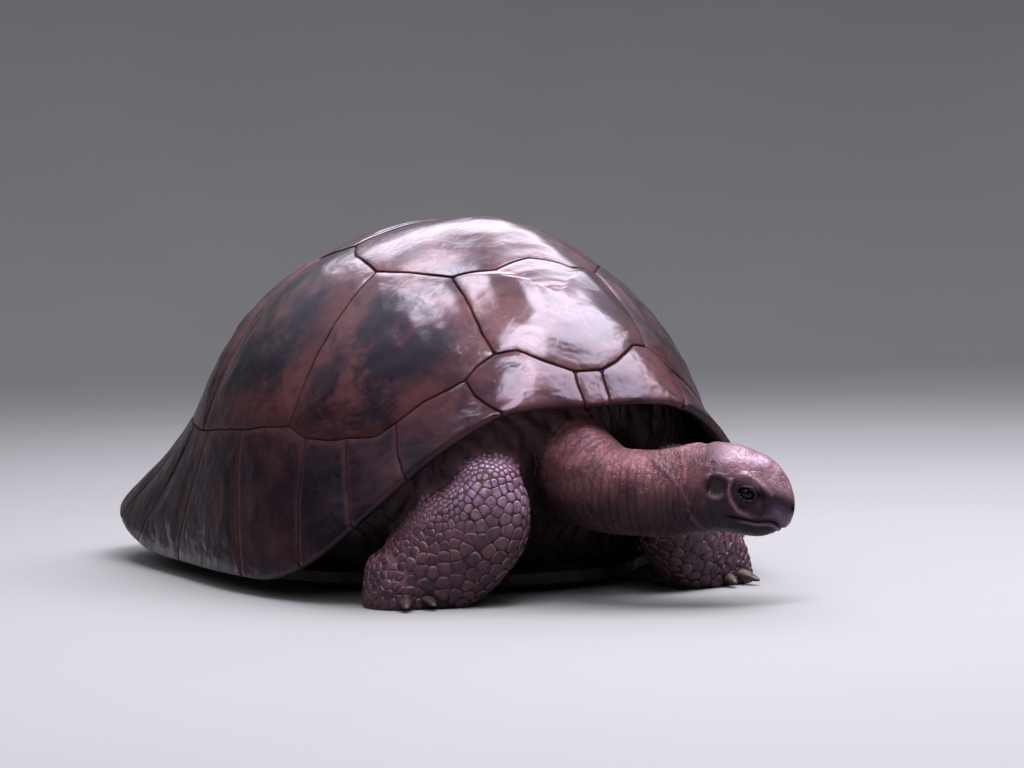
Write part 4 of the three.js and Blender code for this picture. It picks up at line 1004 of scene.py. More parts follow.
    # Nostrils.
    pit = np.sqrt((f - NOSTRIL["forward"]) ** 2 + (left - NOSTRIL["left"]) ** 2 + (up - NOSTRIL["up"]) ** 2)
    hole = NOSTRIL["radius"]
    deep = smooth(hole + 0.6, hole - 1.4, pit) - 0.3 * bell(pit - hole - 2, 1.1)
    f, left = f - 3.2 * deep, left - 2.2 * deep
    # Colour masks: the mouth line and nostrils carry painted shade, the lower lip and the folds painted
    # highlights, and the crown its pink, partly a painted highlight.
    masks = {
        "mouth": bell(above, 1.1) * open_ + smooth(hole + 0.8, hole - 1, pit),
        "lip": bell(above + 4.2, 2.4) * open_ * smooth(66, 86, f),
        "ear": smooth(1.15, 0.8, ear) * outer,
        "lid": smooth(1.75, 1.35, q) * (left > 12) * (radius < 25),
        "crown": smooth(10, 32, up + 0.12 * f - 5) * smooth(8, 54, f),
        "fold": outer * np.clip(
            ring / RING_DEPTH + fold([(20, 26), (18, 8)], 1.4, 0.8)
            + fold([(60, 26), (78, 27), (96, 20), (108, 8)], 2.2, 0.8), 0, 1,
        ),
        "beak": smooth(100, 126, f) * smooth(2, 10, above) * smooth(34, 10, above),
    }
    return f, left, up, masks


def head_surface():
    """The head from just before the neck to the tip of the beak: rings of points, triangles, masks."""
    stations, angles = head_grid()
    f = np.repeat(stations[:, None], angles.shape[1], axis=1)
    wide, crown, throat = head_size(f)
    e = 2 / HEAD_SQUARENESS
    left = wide * np.maximum(0, np.cos(angles)) ** e
    up = (crown + throat) / 2 + (crown - throat) / 2 * power(np.sin(angles), e)
    slope = np.arctan2(np.sin(angles) * wide, np.cos(angles) * (crown - throat) / 2)
    halves = []
    for side in (1, -1):
        nf, nl, nu, masks = face_relief(f, left, up, np.cos(slope), np.sin(slope), side)
        halves.append((np.stack([nf, side * nl, nu], axis=2), masks))
    (a, masks_a), (b, masks_b) = halves
    a[:, [0, -1], 1] = 0
    places = np.concatenate([a, b[:, 1:-1][:, ::-1]], axis=1)
    masks = {k: np.concatenate([v, masks_b[k][:, 1:-1][:, ::-1]], axis=1) for k, v in masks_a.items()}
    rings = np.arange(places.shape[0] * places.shape[1]).reshape(places.shape[:2])
    tip = places[-1].mean(axis=0) + [1.2, 0, 0]
    points = head_place(np.concatenate([places.reshape(-1, 3), tip[None]]))
    faces = np.concatenate([grid_faces(rings), fan_faces(rings[-1], len(points) - 1)])
    masks = {k: np.append(v.ravel(), v[-1].mean()) for k, v in masks.items()}
    return points, faces, masks, rings[0]


# ---- skin

SKIN_PARTS = ("torso", "neck", "forearm", "upper_arm", "hindleg", "tail", "pad")
VOXEL = 5.5                    # spacing of the skin's points where it is not refined
HEAD_CUT = 4.0                 # the head is joined on this far forward of its back
HEAD_REACH = 92.0              # all of the head and of its joint lies this near its axis
NECK_REACH = 98.0              # and all of the neck this near its path


def neck_sections():
    joint, onward = head_place(np.array([[3.0, 0, -16], [26.0, 0, -7]]))
    return refined([*NECK, (*joint, 55, 63, 61), (*onward, 57, 64, 64)], 5)


def skin_parts():
    """The closed bodies that the skin is drawn over, each with its kind and places along it."""
    parts = [("torso", *torso_body())]
    parts.append(("neck", *loft(neck_sections(), sides=64)))
    for side in (-1, 1):
        turned = list if side < 0 else mirrored
        upward = (side * 0.4, -0.9, 0.2)
        parts.append(("forearm", *loft(refined(turned(FOREARM), 5), upward, domes=(0.85, 0.0))))
        parts.append(("upper_arm", *loft(refined(turned(UPPER_ARM), 5), domes=(0.5, 0.0))))
        parts.append(("hindleg", *loft(refined(turned(HINDLEG), 5), (0, -1, 0.4))))
    parts.append(("tail", *loft(refined(TAIL, 5), sides=32, domes=(0.0, 0.8))))
    parts += [("pad", *foot_pad(name)) for name in FEET]
    return parts


def draped_skin():
    """All bodies run together into one even surface, with soft masks of what lies under each point."""
    pieces = []
    for kind, points, faces, along in skin_parts():
        masks = {name: np.full(len(points), float(name == kind)) for name in SKIN_PARTS}
        masks["along"] = along
        pieces.append(piece_from(kind, points, faces, masks))
    skin = joined("skin", pieces)
    skin.data.remesh_voxel_size = VOXEL * MM
    skin.data.use_remesh_preserve_attributes = True
    take(skin)
    bpy.ops.object.voxel_remesh()
    return skin


def read_mask(piece, name):
    values = np.zeros(len(piece.data.vertices), np.float32)
    piece.data.attributes[name].data.foreach_get("value", values)
    return values.astype(float)


def skin_depth(points):
    """How far inside the plain dome each point lies, in millimetres; negative is outside."""
    tree = dome_tree()
    inside = np.zeros(len(points))
    for i, point in enumerate(points):
        place, normal, _, distance = tree.find_nearest(point)
        inside[i] = distance if (place - Vector(point)).dot(normal) > 0 else -distance
    return inside


def dome_tree():
    angle = np.radians(np.arange(-180, 180, 4.0))
    rows = [dome_point(angle, np.full(len(angle), level)) for level in np.linspace(0, 0.96, 22)]
    points = np.concatenate([*rows, dome_point(0.0, 1.0)[None]])
    rings = np.arange(len(rows) * len(angle)).reshape(len(rows), -1)
    faces = np.concatenate([grid_faces(rings), fan_faces(rings[-1], len(points) - 1)])
    a, b, c = (points[faces[0, k]] for k in range(3))
    if np.cross(b - a, c - a) @ (a - [0, 0, 200]) < 0:
        faces = faces[:, ::-1]
    return BVHTree.FromPolygons(points.tolist(), faces.tolist())


def cut_neck(skin):
    """Cuts the skin off square just in front of the neck, and returns the loop that is left open."""
    near = bmesh.new()
    near.from_mesh(skin.data)
    local = head_local(get_points(skin))
    close = (np.hypot(local[:, 1], local[:, 2]) < HEAD_REACH) & (local[:, 0] > -60) & (local[:, 0] < 120)
    near.verts.ensure_lookup_table()
    verts = [near.verts[i] for i in np.where(close)[0]]
    edges = {edge for vert in verts for edge in vert.link_edges}
    faces = {face for vert in verts for face in vert.link_faces}
    bmesh.ops.bisect_plane(
        near, geom=[*verts, *edges, *faces], dist=1e-7,
        plane_co=Vector(head_place(np.array([[HEAD_CUT, 0, 0]]))[0] * MM),
        plane_no=Vector(HEAD_FORWARD), clear_outer=True,
    )
    bmesh.ops.triangulate(near, faces=near.faces[:])
    near.to_mesh(skin.data)
    near.free()
    skin.data.update()


def open_loop(faces):
    """The border of an open surface as one row of point numbers."""
    pairs = np.concatenate([faces[:, [0, 1]], faces[:, [1, 2]], faces[:, [2, 0]]]).astype(np.int64)
    size = int(pairs.max()) + 1
    there = set((pairs[:, 0] * size + pairs[:, 1]).tolist())
    onward = {int(b): int(a) for a, b in pairs if int(b * size + a) not in there}
    start = next(iter(onward))
    loop = [start]
    while onward[loop[-1]] != start:
        loop.append(onward[loop[-1]])
    return np.array(loop)


def stitched(points, low, high, middle, axes):
    """Triangles between two closed rows round the same middle."""
    def turned(row):
        local = (points[row] - middle) @ axes.T
        angle = np.arctan2(local[:, 1], local[:, 0])
        if np.sum(np.unwrap(np.append(angle, angle[0]))[[0, -1]] * [-1, 1]) < 0:
            row, angle = row[::-1], angle[::-1]
        first = int(np.argmin(angle))
        return np.roll(row, -first), np.unwrap(np.roll(angle, -first))

    (a, turn_a), (b, turn_b) = turned(low), turned(high)
    turn_a = np.append(turn_a, turn_a[0] + 2 * math.pi)
    turn_b = np.append(turn_b, turn_b[0] + 2 * math.pi)
    i = j = 0
    faces = []
    while i < len(a) or j < len(b):
        here, there = a[i % len(a)], b[j % len(b)]
        if j >= len(b) or (i < len(a) and turn_a[i + 1] <= turn_b[j + 1]):
            faces.append((here, a[(i + 1) % len(a)], there))
            i += 1
        else:
            faces.append((here, b[(j + 1) % len(b)], there))
            j += 1
    return np.array(faces)


def build_skin(settings):
    """The draped skin with the head joined on and the folds laid over it."""
    skin = draped_skin()
    points = get_points(skin)
    edges = get_edges(skin)
    points = relax(points, edges, 6, 0.5)
    set_points(skin, points)
    thin_hidden(skin)
    refine_neck(skin)
    cut_neck(skin)
    points = get_points(skin)
    faces = np.array([p.vertices[:] for p in skin.data.polygons], np.int64)
    masks = {name: read_mask(skin, name) for name in (*SKIN_PARTS, "along")}
    head_points, head_faces, head_masks, first = head_surface()
    loop = open_loop(faces)
    start = len(points)
    points = np.concatenate([points, head_points])
    seam = stitched(points, loop, first + start, head_place(np.array([[7.0, 0, -12]]))[0], HEAD_AXES[1:])
    faces = np.concatenate([faces, seam, head_faces + start])
    for name in masks:
        masks[name] = np.concatenate([masks[name], np.zeros(len(head_points))])
    masks["head"] = np.concatenate([np.zeros(start), np.ones(len(head_points))])
    for name, values in head_masks.items():
        masks[name] = np.concatenate([np.zeros(start), values])
    bpy.data.objects.remove(skin)
    skin = piece_from("skin", points, faces)
    return folded(skin, masks, settings)


def keep_group(piece, name, weights, steps=8):
    """A vertex group with the given weights, in a few even steps."""
    group = piece.vertex_groups.new(name=name)
    level = np.round(np.clip(weights, 0, 1) * steps).astype(int)
    for step in range(1, steps + 1):
        chosen = np.where(level == step)[0]
        if len(chosen):
            group.add(chosen.tolist(), step / steps, "REPLACE")


def thin_hidden(skin):
    """Leaves few faces where the shell and the underside cover the skin."""
    points = get_points(skin)
    torso, along = read_mask(skin, "torso"), read_mask(skin, "along")
    above = (torso > 0.5) & (along < 0.02) & (skin_depth(points) > 3)
    below = (points[:, 2] < 75) & (np.abs(points[:, 0]) < 215) & (points[:, 1] > -330) & (points[:, 1] < 300)
    hidden = (above | below).astype(float)[:, None]
    hidden = relax(hidden, get_edges(skin), 5)[:, 0]
    hidden = smooth(0.9, 1.0, hidden)
    keep_group(skin, "hidden", hidden)
    take(skin)
    thin = skin.modifiers.new("Thin", "DECIMATE")
    thin.vertex_group = "hidden"
    thin.ratio = float(1 - 0.92 * np.mean(hidden > 0.5))
    thin.use_collapse_triangulate = True
    bpy.ops.object.modifier_apply(modifier=thin.name)
    skin.vertex_groups.clear()


def select_faces(piece, chosen):
    """Goes into edit mode with just these faces selected."""
    open_faces(piece)
    bpy.ops.mesh.select_all(action="DESELECT")
    bpy.ops.object.mode_set(mode="OBJECT")
    piece.data.polygons.foreach_set("select", np.asarray(chosen, bool))
    bpy.ops.object.mode_set(mode="EDIT")


def face_centres(piece):
    centres = np.zeros(3 * len(piece.data.polygons), np.float32)
    piece.data.polygons.foreach_get("center", centres)
    return centres.reshape(-1, 3).astype(float) / MM


def refine_neck(skin):
    """Makes the skin finer where the neck shows its rings."""
    path = [section[:3] for section in NECK[2:]] + [head_place(np.array([[10.0, 0, -10]]))[0]]
    select_faces(skin, path_distance(face_centres(skin), path) < NECK_REACH)
    bpy.ops.mesh.subdivide(number_cuts=1, smoothness=0.0)
    close_faces()


def stand(skin):
    """Cuts the feet off level with the ground."""
    open_faces(skin)
    bpy.ops.mesh.bisect(plane_co=(0, 0, 0), plane_no=(0, 0, 1), use_fill=True, clear_inner=True)
    close_faces()


def creases(phase, sharp=0.55):
    """Rounded ridges from 0, in the narrow valleys between them, to 1."""
    return np.abs(np.sin(math.pi * phase)) ** sharp


# Long folds behind the jaw, as places forward and up, with their widths and their height.
NECK_FOLDS = [
    ([(-60, 13), (-40, 2), (-16, -14), (0, -32)], 2.4), ([(-32, 40), (-24, 24), (-15, 10), (-11, -8)], 2.2),
    ([(2, -40), (18, -56), (38, -66)], 2.4),
]
LONG_FOLD_RISE = 2.6


def folded(skin, masks, settings):
    """Lays the folds over the plain skin and keeps its masks as attributes."""
    open_faces(skin)
    bpy.ops.mesh.normals_make_consistent(inside=False)
    bpy.ops.object.mode_set(mode="OBJECT")
    points = get_points(skin)
    edges = get_edges(skin)
    local = head_local(points)
    near_head = np.hypot(local[:, 1], local[:, 2]) < HEAD_REACH
    joint = bell(local[:, 0] - 7, 9) * near_head
    points = relax(points, edges, 12, 0.5, joint)
    soft = {name: relax(masks[name][:, None], edges, 8)[:, 0] for name in SKIN_PARTS}
    set_points(skin, points)
    normals = get_normals(skin)
    facing = relax(normals[:, 2:], edges, 8)[:, 0]
    first = near_head & (np.abs(local[:, 0] - HEAD_CUT) < 3) & (masks["head"] < 0.5)
    reach = float(masks["along"][first].mean())
    along = np.where(masks["head"] > 0.5, reach + local[:, 0] - HEAD_CUT, masks["along"])
    head = smooth(-18, 42, local[:, 0]) * (near_head | (masks["head"] > 0.5))
    neck = np.maximum(soft["neck"], masks["head"]) * (1 - head)
    depth = settings.fold_depth / MM
    warp = 0.6 * rough(points, 42, 31) + 0.22 * rough(points, 15, 33)
    strength = 0.55 + 0.45 * noise(points, 55, 36)
    ring = creases(along / settings.ring_spacing * MM + 2.2 * warp)
    ring_depth = depth * strength * smooth(30, 120, along) * smooth(0.5, 0.9, neck)
    lift = ring_depth * (ring - 0.7)
    angle = np.arctan2(points[:, 0], -points[:, 1])
    curtain = creases(angle * 400 / 27 + points[:, 2] / 95 + 1.5 * rough(points, 80, 51), 0.7)
    body = soft["torso"] * smooth(0.02, 0.2, along * masks["torso"] + soft["neck"])
    lift += 3.2 * depth * body * (curtain - 0.6)
    base = smooth(200, 60, along) * soft["neck"] * (1 - head)
    long_folds = creases(angle * 300 / 24 + points[:, 2] / 60 + 1.2 * rough(points, 60, 58), 0.7)
    lift += 2.0 * depth * base * (long_folds - 0.6)
    arm = soft["upper_arm"] + soft["hindleg"]
    bends = creases(points[:, 2] / 19 + points[:, 1] / 50 + 1.4 * rough(points, 40, 61))
    lift += 1.5 * depth * arm * (bends - 0.6)
    lift += (1 - head) * (1.1 * rough(points, 34, 71) + 0.35 * rough(points, 10, 75))
    lift += soft["pad"] * 1.2 * rough(points, 17, 79)
    lift *= smooth(0.95, 0.35, head)
    side_view = local * [1, 0, 1]
    beside = (np.abs(local[:, 1]) > 20) & near_head
    long_fold = np.zeros(len(points))
    for path, width in NECK_FOLDS:
        fold = bell(path_distance(side_view, side_line(path)), width) * beside
        long_fold = np.maximum(long_fold, fold)
    lift += LONG_FOLD_RISE * long_fold
    points = points + normals * lift[:, None]
    set_points(skin, points)
    # Masks for the finish; the depth of the fold valleys and how far the skin faces up carry painted shade
    # in the valleys and on the undersides.
    tone = {
        "neck": neck, "head": head, "torso": soft["torso"],
        "leg": soft["forearm"] + soft["upper_arm"] + soft["hindleg"] + soft["pad"] + soft["tail"],
        "crease_shade": np.clip(-lift / (2.2 * depth), 0, 1), "facing": 0.5 + 0.5 * facing,
    }
    for name in ("mouth", "lip", "ear", "lid", "crown", "beak", "fold"):
        tone[name] = masks[name]
    # The long folds behind the jaw also get the painted highlight of the fold mask.
    tone["fold"] = np.maximum(tone["fold"], 0.4 * long_fold)
    for name, values in tone.items():
        set_mask(skin, name, np.clip(values, 0, 1))
    set_mask(skin, "along", along)
    for name in SCALED:
        set_mask(skin, name, soft[name])
    stand(skin)
    return skin


# ---- scales of the legs

SCALED = ("forearm", "pad", "hindleg", "tail")
SCATTER, SEED = 52000, 42      # how many places are tried, and the start of the random draws
SMALL_WIDTH = 11.0             # scales below this width have fewer rows
# Shares of a scale's width: how far a lone one reaches, and how narrow or steep one may be.
LONE_REACH, NARROWEST, STEEPEST = 0.67, 0.22, 0.4
# Where scales are left out: too few neighbours, too far off the skin, or too near a bare part.
NEIGHBOURHOOD, FEWEST, FARTHEST, BAREST = 2.3, 6, 0.25, 0.58
# Share of the outline and height of the rows of a scale, from its root in the skin to its top;
# a height below 0 is in millimetres, and one above it a share of the rise.
SMALL_SCALE = [(1.0, -1.2), (0.9, 0.62), (0.5, 1.0)]
LARGE_SCALE = [(1.0, -1.4), (0.975, 0.25), (0.86, 0.74), (0.55, 1.0)]


def clipped(polygon, middle, direction):
    """What is left of a polygon on the near side of a line."""
    side = (polygon - middle) @ direction
    out = []
    for i in range(len(polygon)):
        j = (i + 1) % len(polygon)
        if side[i] <= 0:
            out.append(polygon[i])
        if (side[i] <= 0) != (side[j] <= 0):
            out.append(polygon[i] + (polygon[j] - polygon[i]) * side[i] / (side[i] - side[j]))
    return np.array(out)


def rounded(polygon):
    """Cuts off each corner at a quarter of its sides."""
    onward = np.roll(polygon, -1, axis=0)
    return np.stack([mix(polygon, onward, 0.25), mix(polygon, onward, 0.75)], axis=1).reshape(-1, 2)


def scale_width(points, normals, masks):
    """How wide a scale is at each place of the skin, in millimetres; 0 where there are none."""
    ahead = unit(np.sign(points[:, :1]) * [-0.4, 0, 0] + [0, -0.9, 0.2])
    facing = (normals * ahead).sum(axis=1)
    height = points[:, 2]
    large = mix(19.5, 14.5, smooth(80, 145, height))
    arm = mix(7.5, large, smooth(0.1, 0.62, facing) * smooth(192, 168, height))
    uneven = 1 + 0.16 * noise(points, 38, 77)
    width = np.zeros(len(points))
    for name, size in (("tail", 8.5), ("hindleg", 15.0), ("forearm", arm), ("pad", 12.0)):
        width = np.where(masks[name] > 0.5, size * uneven, width)
    return np.where(height > 3.0, width, 0)


def scattered(piece, random, count):
    """Places spread evenly over the scaled parts of the skin, with their normals and masks."""
    points, normals = get_points(piece), get_normals(piece)
    faces = np.array([p.vertices[:] for p in piece.data.polygons], np.int64)
    masks = {name: read_mask(piece, name) for name in SCALED}
    chosen = np.max([masks[name][faces].mean(axis=1) for name in SCALED], axis=0) > 0.5
    faces = faces[chosen]
    a, b, c = (points[faces[:, k]] for k in range(3))
    area = np.linalg.norm(np.cross(b - a, c - a), axis=1)
    pick = random.choice(len(faces), count, p=area / area.sum())
    u, v = random.random(count), random.random(count)
    u, v = np.where(u + v > 1, 1 - u, u), np.where(u + v > 1, 1 - v, v)
    weights = np.stack([1 - u - v, u, v], axis=1)
    corners = faces[pick]

    def between(values):
        return np.einsum("nk,nk...->n...", weights, values[corners])

    return between(points), unit(between(normals)), {k: between(m) for k, m in masks.items()}


def nearest_of(places):
    tree = KDTree(len(places))
    for i, place in enumerate(places):
        tree.insert(place, i)
    tree.balance()
    return tree


def scale_centres(places, normals, width):
    """Thins scattered places to one for each scale, and evens them out."""
    chosen = []
    kept = np.zeros((0, 3))
    use = np.where(width > 0)[0]
    for i in use:
        if not chosen or np.square(kept - places[i]).sum(axis=1).min() > (0.8 * width[i]) ** 2:
            chosen.append(i)
            kept = np.concatenate([kept, places[i:i + 1]])
    facing = normals[chosen]
    for _ in range(3):
        tree = nearest_of(kept)
        owner = np.array([tree.find(place)[1] for place in places[use]])

        def total(values):
            return np.stack([np.bincount(owner, values[use, k], len(kept)) for k in range(3)], axis=1)

        count = np.maximum(np.bincount(owner, minlength=len(kept)), 1)[:, None]
        facing = unit(total(normals) + 1e-6 * facing)
        kept = np.where(count > 3, mix(kept, total(places) / count, 0.8), kept)
    return kept, facing, chosen


def one_scale(centre, normal, width, others, widths, tree, net, rise, random):
    """A low domed plate with its root in the skin: points, triangles and height share of each point."""
    first = unit(np.cross(normal, [0.3, 0.1, 1.0]))
    second = np.cross(normal, first)
    turn = np.arange(8) * math.pi / 4 + math.pi / 8
    polygon = LONE_REACH * width * np.stack([np.cos(turn), np.sin(turn)], axis=1)
    for other, wide in zip(others, widths):
        flat = np.array([(other - centre) @ first, (other - centre) @ second])
        if np.hypot(*flat) > 0.3 * width and len(polygon) > 2:
            polygon = clipped(polygon, flat * width / (width + wide), flat)
    if len(polygon) < 4:
        return None
    outline = rounded(polygon)
    middle = outline.mean(axis=0)
    span = np.hypot(*(outline - middle).T)
    if span.min() < NARROWEST * width:
        return None
    outline = middle + (outline - middle) * (1 - min(net / span.mean(), 0.05))
    levels = SMALL_SCALE if width < SMALL_WIDTH else LARGE_SCALE
    lift = rise * width * random.uniform(0.75, 1.25)
    tilt = random.normal(0, 0.05, 2) + [0, 0.05]
    flat = np.concatenate([middle + (outline - middle) * level for level, _ in levels] + [middle[None]])
    heights = [share * lift if share > 0 else share for _, share in levels]
    high = np.append(np.repeat(heights, len(outline)), 1.06 * lift)
    high = high + np.where(high > 0, (flat - middle) @ tilt, 0)
    start = centre + flat[:, :1] * first + flat[:, 1:] * second
    place = []
    for p in start:
        hit = tree.ray_cast(Vector(p + 0.8 * width * normal), Vector(-normal), 1.8 * width)[0]
        place.append(hit if hit is not None else tree.find_nearest(Vector(p))[0])
    place = np.array(place) + normal * high[:, None]
    if np.ptp((place - normal * high[:, None] - centre) @ normal) > STEEPEST * width:
        return None
    place[:, 2] = np.maximum(place[:, 2], 0.8)
    n = len(outline)
    rings = np.arange(n * len(levels)).reshape(len(levels), n)
    body = np.concatenate([place, place[:n].mean(axis=0)[None] - normal])
    faces = np.concatenate([
        grid_faces(rings), fan_faces(rings[-1], len(place) - 1), fan_faces(rings[0], len(place))[:, ::-1],
    ])
    return body, outward(body - centre, faces), np.append(np.clip(high / lift, 0, 1), 0)


def build_scales(skin, settings):
    """The scales in five pieces: one for each foreleg, one for each hindleg and one for the tail."""
    random = np.random.default_rng(SEED)
    places, normals, masks = scattered(skin, random, SCATTER)
    width = scale_width(places, normals, masks)
    centres, facing, chosen = scale_centres(places, normals, width)
    width = width[chosen]
    inside = np.max([masks[name][chosen] for name in SCALED], axis=0)
    rise = settings.rise * mix(0.35, 1.0, smooth(0.5, 0.9, inside))
    faces = [p.vertices[:] for p in skin.data.polygons]
    tree = BVHTree.FromPolygons(get_points(skin).tolist(), faces)
    around = nearest_of(centres)
    made = {}
    for i, (centre, normal, wide) in enumerate(zip(centres, facing, width)):
        near = [j for _, j, _ in around.find_range(Vector(centre), NEIGHBOURHOOD * wide) if j != i]
        _, upright, _, away = tree.find_nearest(Vector(centre))
        stray = away > FARTHEST * wide or Vector(normal).dot(upright) < 0.8
        if stray or len(near) < FEWEST or inside[i] < BAREST:
            continue
        scale = one_scale(
            centre, normal, wide, centres[near], width[near], tree, settings.net_width / MM, rise[i], random,
        )
        if scale is None:
            continue
        side = "left" if centre[0] > 0 else "right"
        name = f"{'foreleg' if centre[1] < 0 else 'hindleg'}_scales_{side}"
        if abs(centre[0]) < 90 and centre[1] > 0:
            name = "tail_scales"
        made.setdefault(name, []).append((*scale, random.random()))
    pieces = []
    for name, parts in sorted(made.items()):
        bodies, faces, tops, tones = zip(*parts)
        counts = [len(body) for body in bodies]
        offset = np.cumsum([0] + counts[:-1])
        pieces.append(piece_from(
            name, np.concatenate(bodies), np.concatenate([part + o for part, o in zip(faces, offset)]),
            {"top": np.concatenate(tops), "tone": np.repeat(tones, counts)},
        ))
    for name in SCALED:
        skin.data.attributes.remove(skin.data.attributes[name])
    return pieces


# ---- claws and eyes


def one_claw():
    """A blunt curved claw that points along -Y from its root, as long as 1."""
    deselect()
    bpy.ops.mesh.primitive_cylinder_add(vertices=14, radius=0.3, depth=1.0, rotation=(math.pi / 2, 0, 0))
    claw = settled(bpy.context.object)
    open_faces(claw)
    for y in np.linspace(-0.4, 0.36, 5):
        bpy.ops.mesh.select_all(action="SELECT")
        bpy.ops.mesh.bisect(plane_co=(0, float(y), 0), plane_no=(0, 1, 0))
    bpy.ops.object.mode_set(mode="OBJECT")
    for vertex in claw.data.vertices:
        x, y, z = vertex.co
        k = 0.5 - y
        narrow = (1 - 0.72 * k ** 1.6) * math.sqrt(max(0.0, 1 - max(0.0, (k - 0.86) / 0.15) ** 2 * 0.75))
        vertex.co = (x * narrow * 1.05, -k, z * narrow * (0.86 - 0.1 * k) - 0.2 * k ** 2 + 0.02)
    take(claw)
    round_ = claw.modifiers.new("Round", "SUBSURF")
    round_.levels = round_.render_levels = 1
    bpy.ops.object.modifier_apply(modifier=round_.name)
    return claw


CLAW_FAN = 50 * RAD            # from the middle claw to the outer one


def build_claws(settings):
    """All claws in one piece, fanned out in front of the feet and flat on the ground."""
    model = one_claw()
    pieces = []
    for name, ((x, _), turn, count) in FEET.items():
        for i in range(count):
            angle = (i - (count - 1) / 2) / ((count - 1) / 2) * CLAW_FAN
            root = (math.sin(angle) * FOOT["width"] * 0.4, -math.cos(angle) * FOOT["length"] * 0.4, 15)
            start = foot_place(name, root)[0]
            claw = model.copy()
            claw.data = model.data.copy()
            bpy.context.scene.collection.objects.link(claw)
            size = settings.length * (1 + 0.07 * math.sin(5 * i + x))
            claw.matrix_world = (
                Matrix.Translation(Vector(start) * MM)
                @ Matrix.Rotation(turn * RAD + angle * 0.92, 4, "Z")
                @ Matrix.Diagonal((size * 0.9, size, size * 0.85, 1))
            )
            pieces.append(settled(claw))
    bpy.data.objects.remove(model)
    claws = joined("claws", pieces)
    points = get_points(claws)
    points[:, 2] = np.maximum(points[:, 2], 0.4)
    set_points(claws, points)
    return claws


def build_eye(side, settings):
    """An eyeball with a slightly raised cornea; side is 1 for the left eye and -1 for the right."""
    centre = head_place(np.array([[EYE["forward"], side * EYE["left"], EYE["up"]]]))[0]
    look = unit(HEAD_LEFT * side + 0.1 * HEAD_FORWARD + 0.02 * HEAD_UP)
    deselect()
    bpy.ops.mesh.primitive_uv_sphere_add(segments=64, ring_count=40, radius=settings.radius)
    eye = bpy.context.object
    eye.name = eye.data.name = f"eyeball_{'left' if side > 0 else 'right'}"
    turned = Vector(look).to_track_quat("Z", "Y").to_matrix().to_4x4()
    eye.matrix_world = Matrix.Translation(Vector(centre) * MM) @ turned
    settled(eye)
    points = get_points(eye)
    away = unit(points - centre)
    turn = np.degrees(np.arccos(np.clip(away @ look, -1, 1)))
    points = points + away * (0.9 * smooth(34, 18, turn))[:, None]
    set_points(eye, points)
    set_mask(eye, "turn", turn)
    return eye


# ---- finishes


def stain_group():
    """Soft stains of one colour over another, shared by the finishes."""
    group = bpy.data.node_groups.new("Stains", "ShaderNodeTree")
    for name, way, kind in (
        ("Vector", "INPUT", "Vector"), ("Colour", "INPUT", "Color"), ("Stain", "INPUT", "Color"),
        ("Amount", "INPUT", "Float"), ("Scale", "INPUT", "Float"), ("Colour", "OUTPUT", "Color"),
    ):
        group.interface.new_socket(name=name, in_out=way, socket_type=f"NodeSocket{kind}")
    nodes = Nodes(group)
    start = nodes.node("NodeGroupInput").outputs
    cloud = nodes.node(
        "ShaderNodeTexNoise", Vector=start["Vector"], Scale=start["Scale"], Detail=5.0, Roughness=0.62,
    )
    share = nodes.times(nodes.ramp(cloud.outputs["Fac"], 0.42, 0.66), start["Amount"])
    nodes.node("NodeGroupOutput", Colour=nodes.paint(start["Colour"], start["Stain"], share))
    return group


def stained(shader, colour, stain, amount, size):
    """Lays stains of about a size in millimetres over a colour."""
    group = bpy.data.node_groups.get("Stains") or stain_group()
    values = {"Vector": shader.object, "Colour": colour, "Stain": stain, "Amount": amount}
    node = shader.node("ShaderNodeGroup", node_tree=group, Scale=1 / (size * MM), **values)
    return node.outputs["Colour"]


